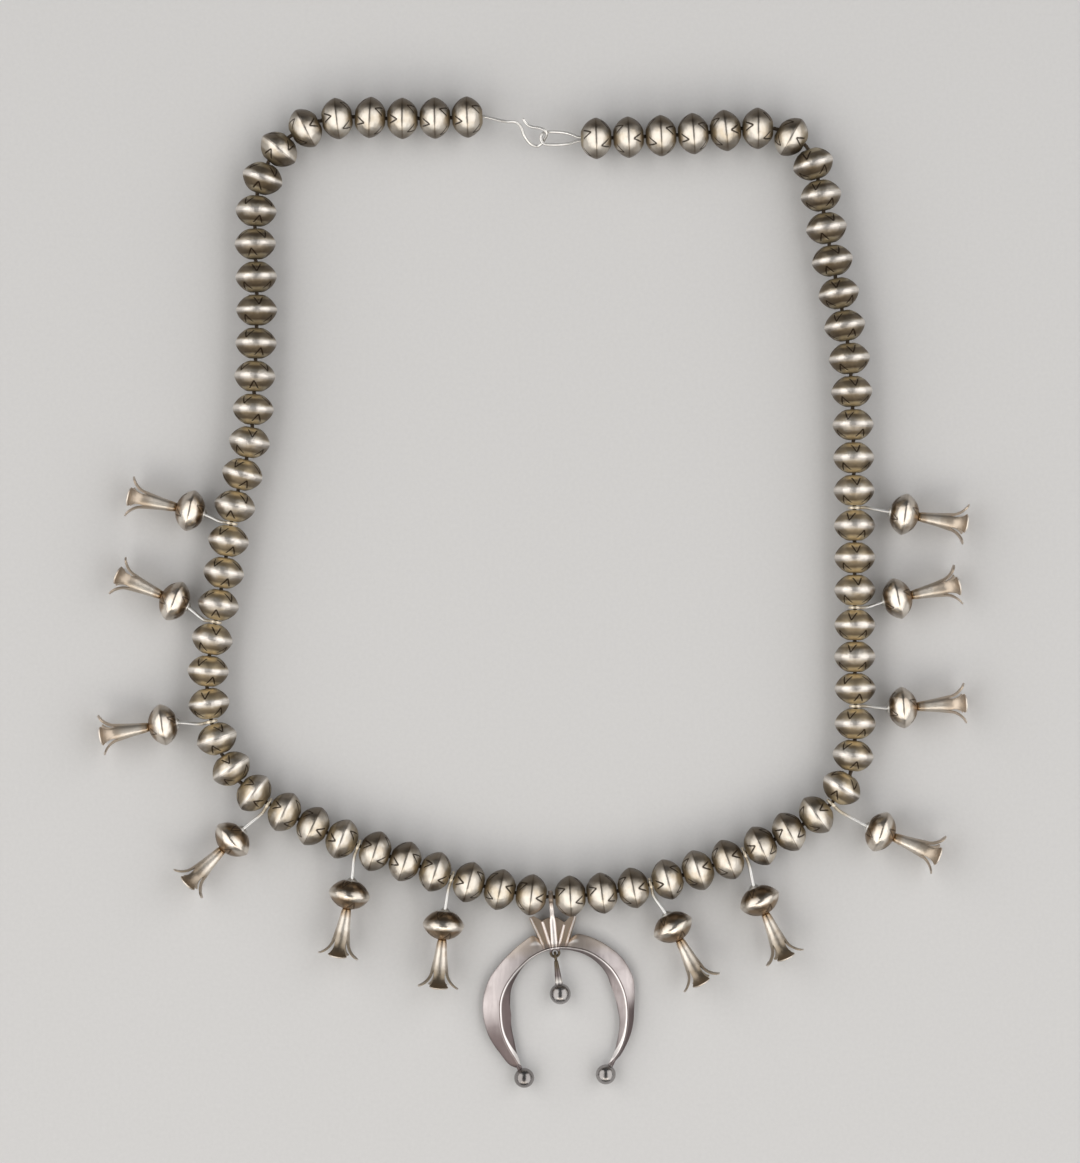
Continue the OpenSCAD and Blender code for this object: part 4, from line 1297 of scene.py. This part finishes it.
staple = Vector((0, crown_inner + LINK_WIRE * 0.4 - LINK_D / 2, NAJA_T * 0.4))
held_ring = moved(ring(LINK_D, LINK_WIRE), Matrix.Translation(staple))
ball_z = DROP_D / 2 - NAJA_LIFT - NAJA_T * 0.4
ring_foot, ball_at = Vector((0, -LINK_D / 2, 0)), Vector((0, -DROP_L, ball_z))
neck_share = 1 - (DROP_D / 2 - SUNK) / (DROP_L - LINK_D / 2)
rod_end = ring_foot.lerp(ball_at, neck_share)
drop = together(moved(ring(LINK_D, LINK_WIRE), Matrix.Rotation(math.pi / 2, 4, "Y")),
                rod(ring_foot, rod_end, ROD_D, ROD_FOOT_D), ball(ball_at, DROP_D))
lean = Matrix.Rotation(math.radians(DROP_LEAN), 4, "Z")
hang = naja_place @ Matrix.Translation(staple) @ lean @ Matrix.Translation(ring_foot)
drop = moved(drop, hang)
print("the drop hangs in its ring")

# %% [markdown]
# ## Cast silver
# Sand-cast silver is filed and rubbed, not polished: a satin grey with a warm, slightly pink cast,
# fine scratches along the arms, and gunmetal on the balls. Light and shade are painted too: painted
# shade on the lower outer bevels, on the inner bevels, on the shoulders, between the fan's rays, at
# the top of the fan under the beads and on the drop's ring; a painted dark line beside the ridge;
# painted highlights along the ridge, on the rays and at the foot of the drop's rod.

# %% Where the casting's shade and highlights are painted
cast_silver, start = new_finish("cast_silver")
room = object_place(start)
x, y, z = parts_of(attribute(start, "naja_place"))
bevel = attribute(start, "bevel", "Fac")
on_ball = attribute(start, "on_ball", "Fac")
cloudy = cloud(room, 140, 3)
grit = cloud(room, 1900, 3, 0.6)
scratch = cloud(room, 600, 2, 0.5, (1, 0.12, 1))
left = 1 - rise(x, -1.5, 1.5)
outside = 1 - rise(bevel, -0.6, -0.2)
# Painted shade on the lower outer bevels of both arms
low_left = left * (1 - rise(y + (cloudy - 0.5) * 8, -10, 2)) * outside
low_right = (1 - left) * (1 - rise(y + (cloudy - 0.5) * 6, -4, 3)) * outside
# Painted shade on the inner bevels, strongest on the left arm
inner = rise(bevel, 0.3, 0.6) * (left + (1 - left) * (0.45 + rise(y, -1, 9) * 0.3))
# Painted shade on the shoulders
high = rise(y + (cloudy - 0.5) * 5, 13, 17)
shoulder = high * (1 - rise(y, 20.5, 21.5)) * (1 - rise(bevel, -0.5, 0.2))
# Painted highlight along the ridge
edge_wide = 0.3 + (1 - rise(y, -18, -4)) * 0.9
edge = rise(bevel, -0.02, 0.06) * (1 - rise(bevel - edge_wide, -0.12, 0.12))
# Painted dark line beside the ridge
furrow = rise(bevel, -0.42, -0.28) * (1 - rise(bevel, -0.1, 0.0))
# Painted shade between the fan's rays and painted highlight on the rays
in_fan = rise(y, 17.2, 18.0) * (1 - rise(abs(x), 6.2, 7.6))
# Painted shadow on the drop's ring
link = (1 - rise(abs(x), 1.8, 2.0)) * rise(y, 8.5, 11.5) * rise(bevel, 1.0, 1.2)
# Painted highlight at the foot of the drop's rod
near_rod = (1 - rise(abs(x), 2.0, 2.4)) * rise(bevel, 1.2, 1.4)
foot = near_rod * (1 - rise(y, 6.0, 8.5)) * (1 - on_ball)
print("the masks take", len(cast_silver.node_tree.nodes), "nodes")

# %% Cast silver, coat by coat
gunmetal = blend(rise(cloudy, 0.4, 0.7) * 0.6, rgb(0.36, 0.345, 0.34), rgb(0.22, 0.20, 0.195))
colour = coats(
    rgb(0.57, 0.52, 0.522),
    (rise(cloudy, 0.38, 0.68) * 0.7, rgb(0.38, 0.335, 0.335)),
    (rise(scratch, 0.5, 0.62) * 0.25, rgb(0.80, 0.745, 0.74)),
    (inner * 0.85 + low_right * 0.85 + low_left * 0.85, rgb(0.085, 0.058, 0.056)),
    (shoulder * 0.6, rgb(0.47, 0.40, 0.33)),
    (edge * 0.95, rgb(0.95, 0.92, 0.91)),
    (furrow * 0.8, rgb(0.09, 0.065, 0.06)),
    (in_fan * (1 - rise(z, 1.15, 1.35)) * 0.85, rgb(0.52, 0.41, 0.31)),
    (in_fan * rise(z, 1.2, 1.4) * 0.9, rgb(0.95, 0.90, 0.87)),
    # painted shadow of the beads on the top of the fan and the loop
    (rise(y, 27.5, 30.0) * 0.8, rgb(0.25, 0.18, 0.12)),
    (link * 0.9, rgb(0.12, 0.095, 0.06)),
    (foot * 0.9, rgb(0.95, 0.93, 0.89)),
    (on_ball, gunmetal))
roughness = 0.34 + foot * 0.15 + grit * 0.10 + scratch * 0.05 - on_ball * 0.17
set_finish(cast_silver, colour, roughness, cloudy * 0.04 + grit * 0.008 + scratch * 0.015)
print("cast silver has", len(cast_silver.node_tree.nodes), "nodes")

# %% Naja and drop
naja_shape = moved(together(crescent, plate, *rays, bar, loop, held_ring, *tips), naja_place)
naja = new_piece("naja_cast", naja_shape, 34)
drop_piece = new_piece("drop_cast", drop, 34)
ridge_at = crescent_rows[::-1]
ball_spots = [(hang @ ball_at, DROP_D)] + [(naja_place @ Vector(spot), TIP_D) for spot in tip_spots]
for piece, node in ((naja, "naja"), (drop_piece, "naja_drop")):
    spots = corners(piece.data) / MM
    own_place = moved((spots, []), naja_place.inverted())[0]
    turn_of = np.degrees(np.arctan2(own_place[:, 1], own_place[:, 0]))
    turn_of = np.where(turn_of < -90, turn_of + 360, turn_of)
    ridge = np.interp(turn_of, ridge_at[:, 0], ridge_at[:, 2]) * NAJA_R
    near_ball = [np.linalg.norm(spots - np.array(spot), axis=1) < d / 2 + 0.05
                 for spot, d in ball_spots]
    note(piece.data, "naja_place", own_place)
    note(piece.data, "bevel", ridge - np.hypot(own_place[:, 0], own_place[:, 1]))
    note(piece.data, "on_ball", np.any(near_ball, axis=0))
    piece.data.materials.append(cast_silver)
    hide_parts(node)
    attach(piece, "root")
print("naja:", len(naja.data.polygons), "faces; drop:", len(drop_piece.data.polygons), "faces")

# %% [markdown]
# The dressed necklace must be as large as its solids. Both boxes are printed.

# %% Boxes, and the end
dressed_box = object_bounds()
for name, box in (("solids", solid_box), ("dressed", dressed_box)):
    print(name, [[round(v / MM, 2) for v in corner] for corner in box])
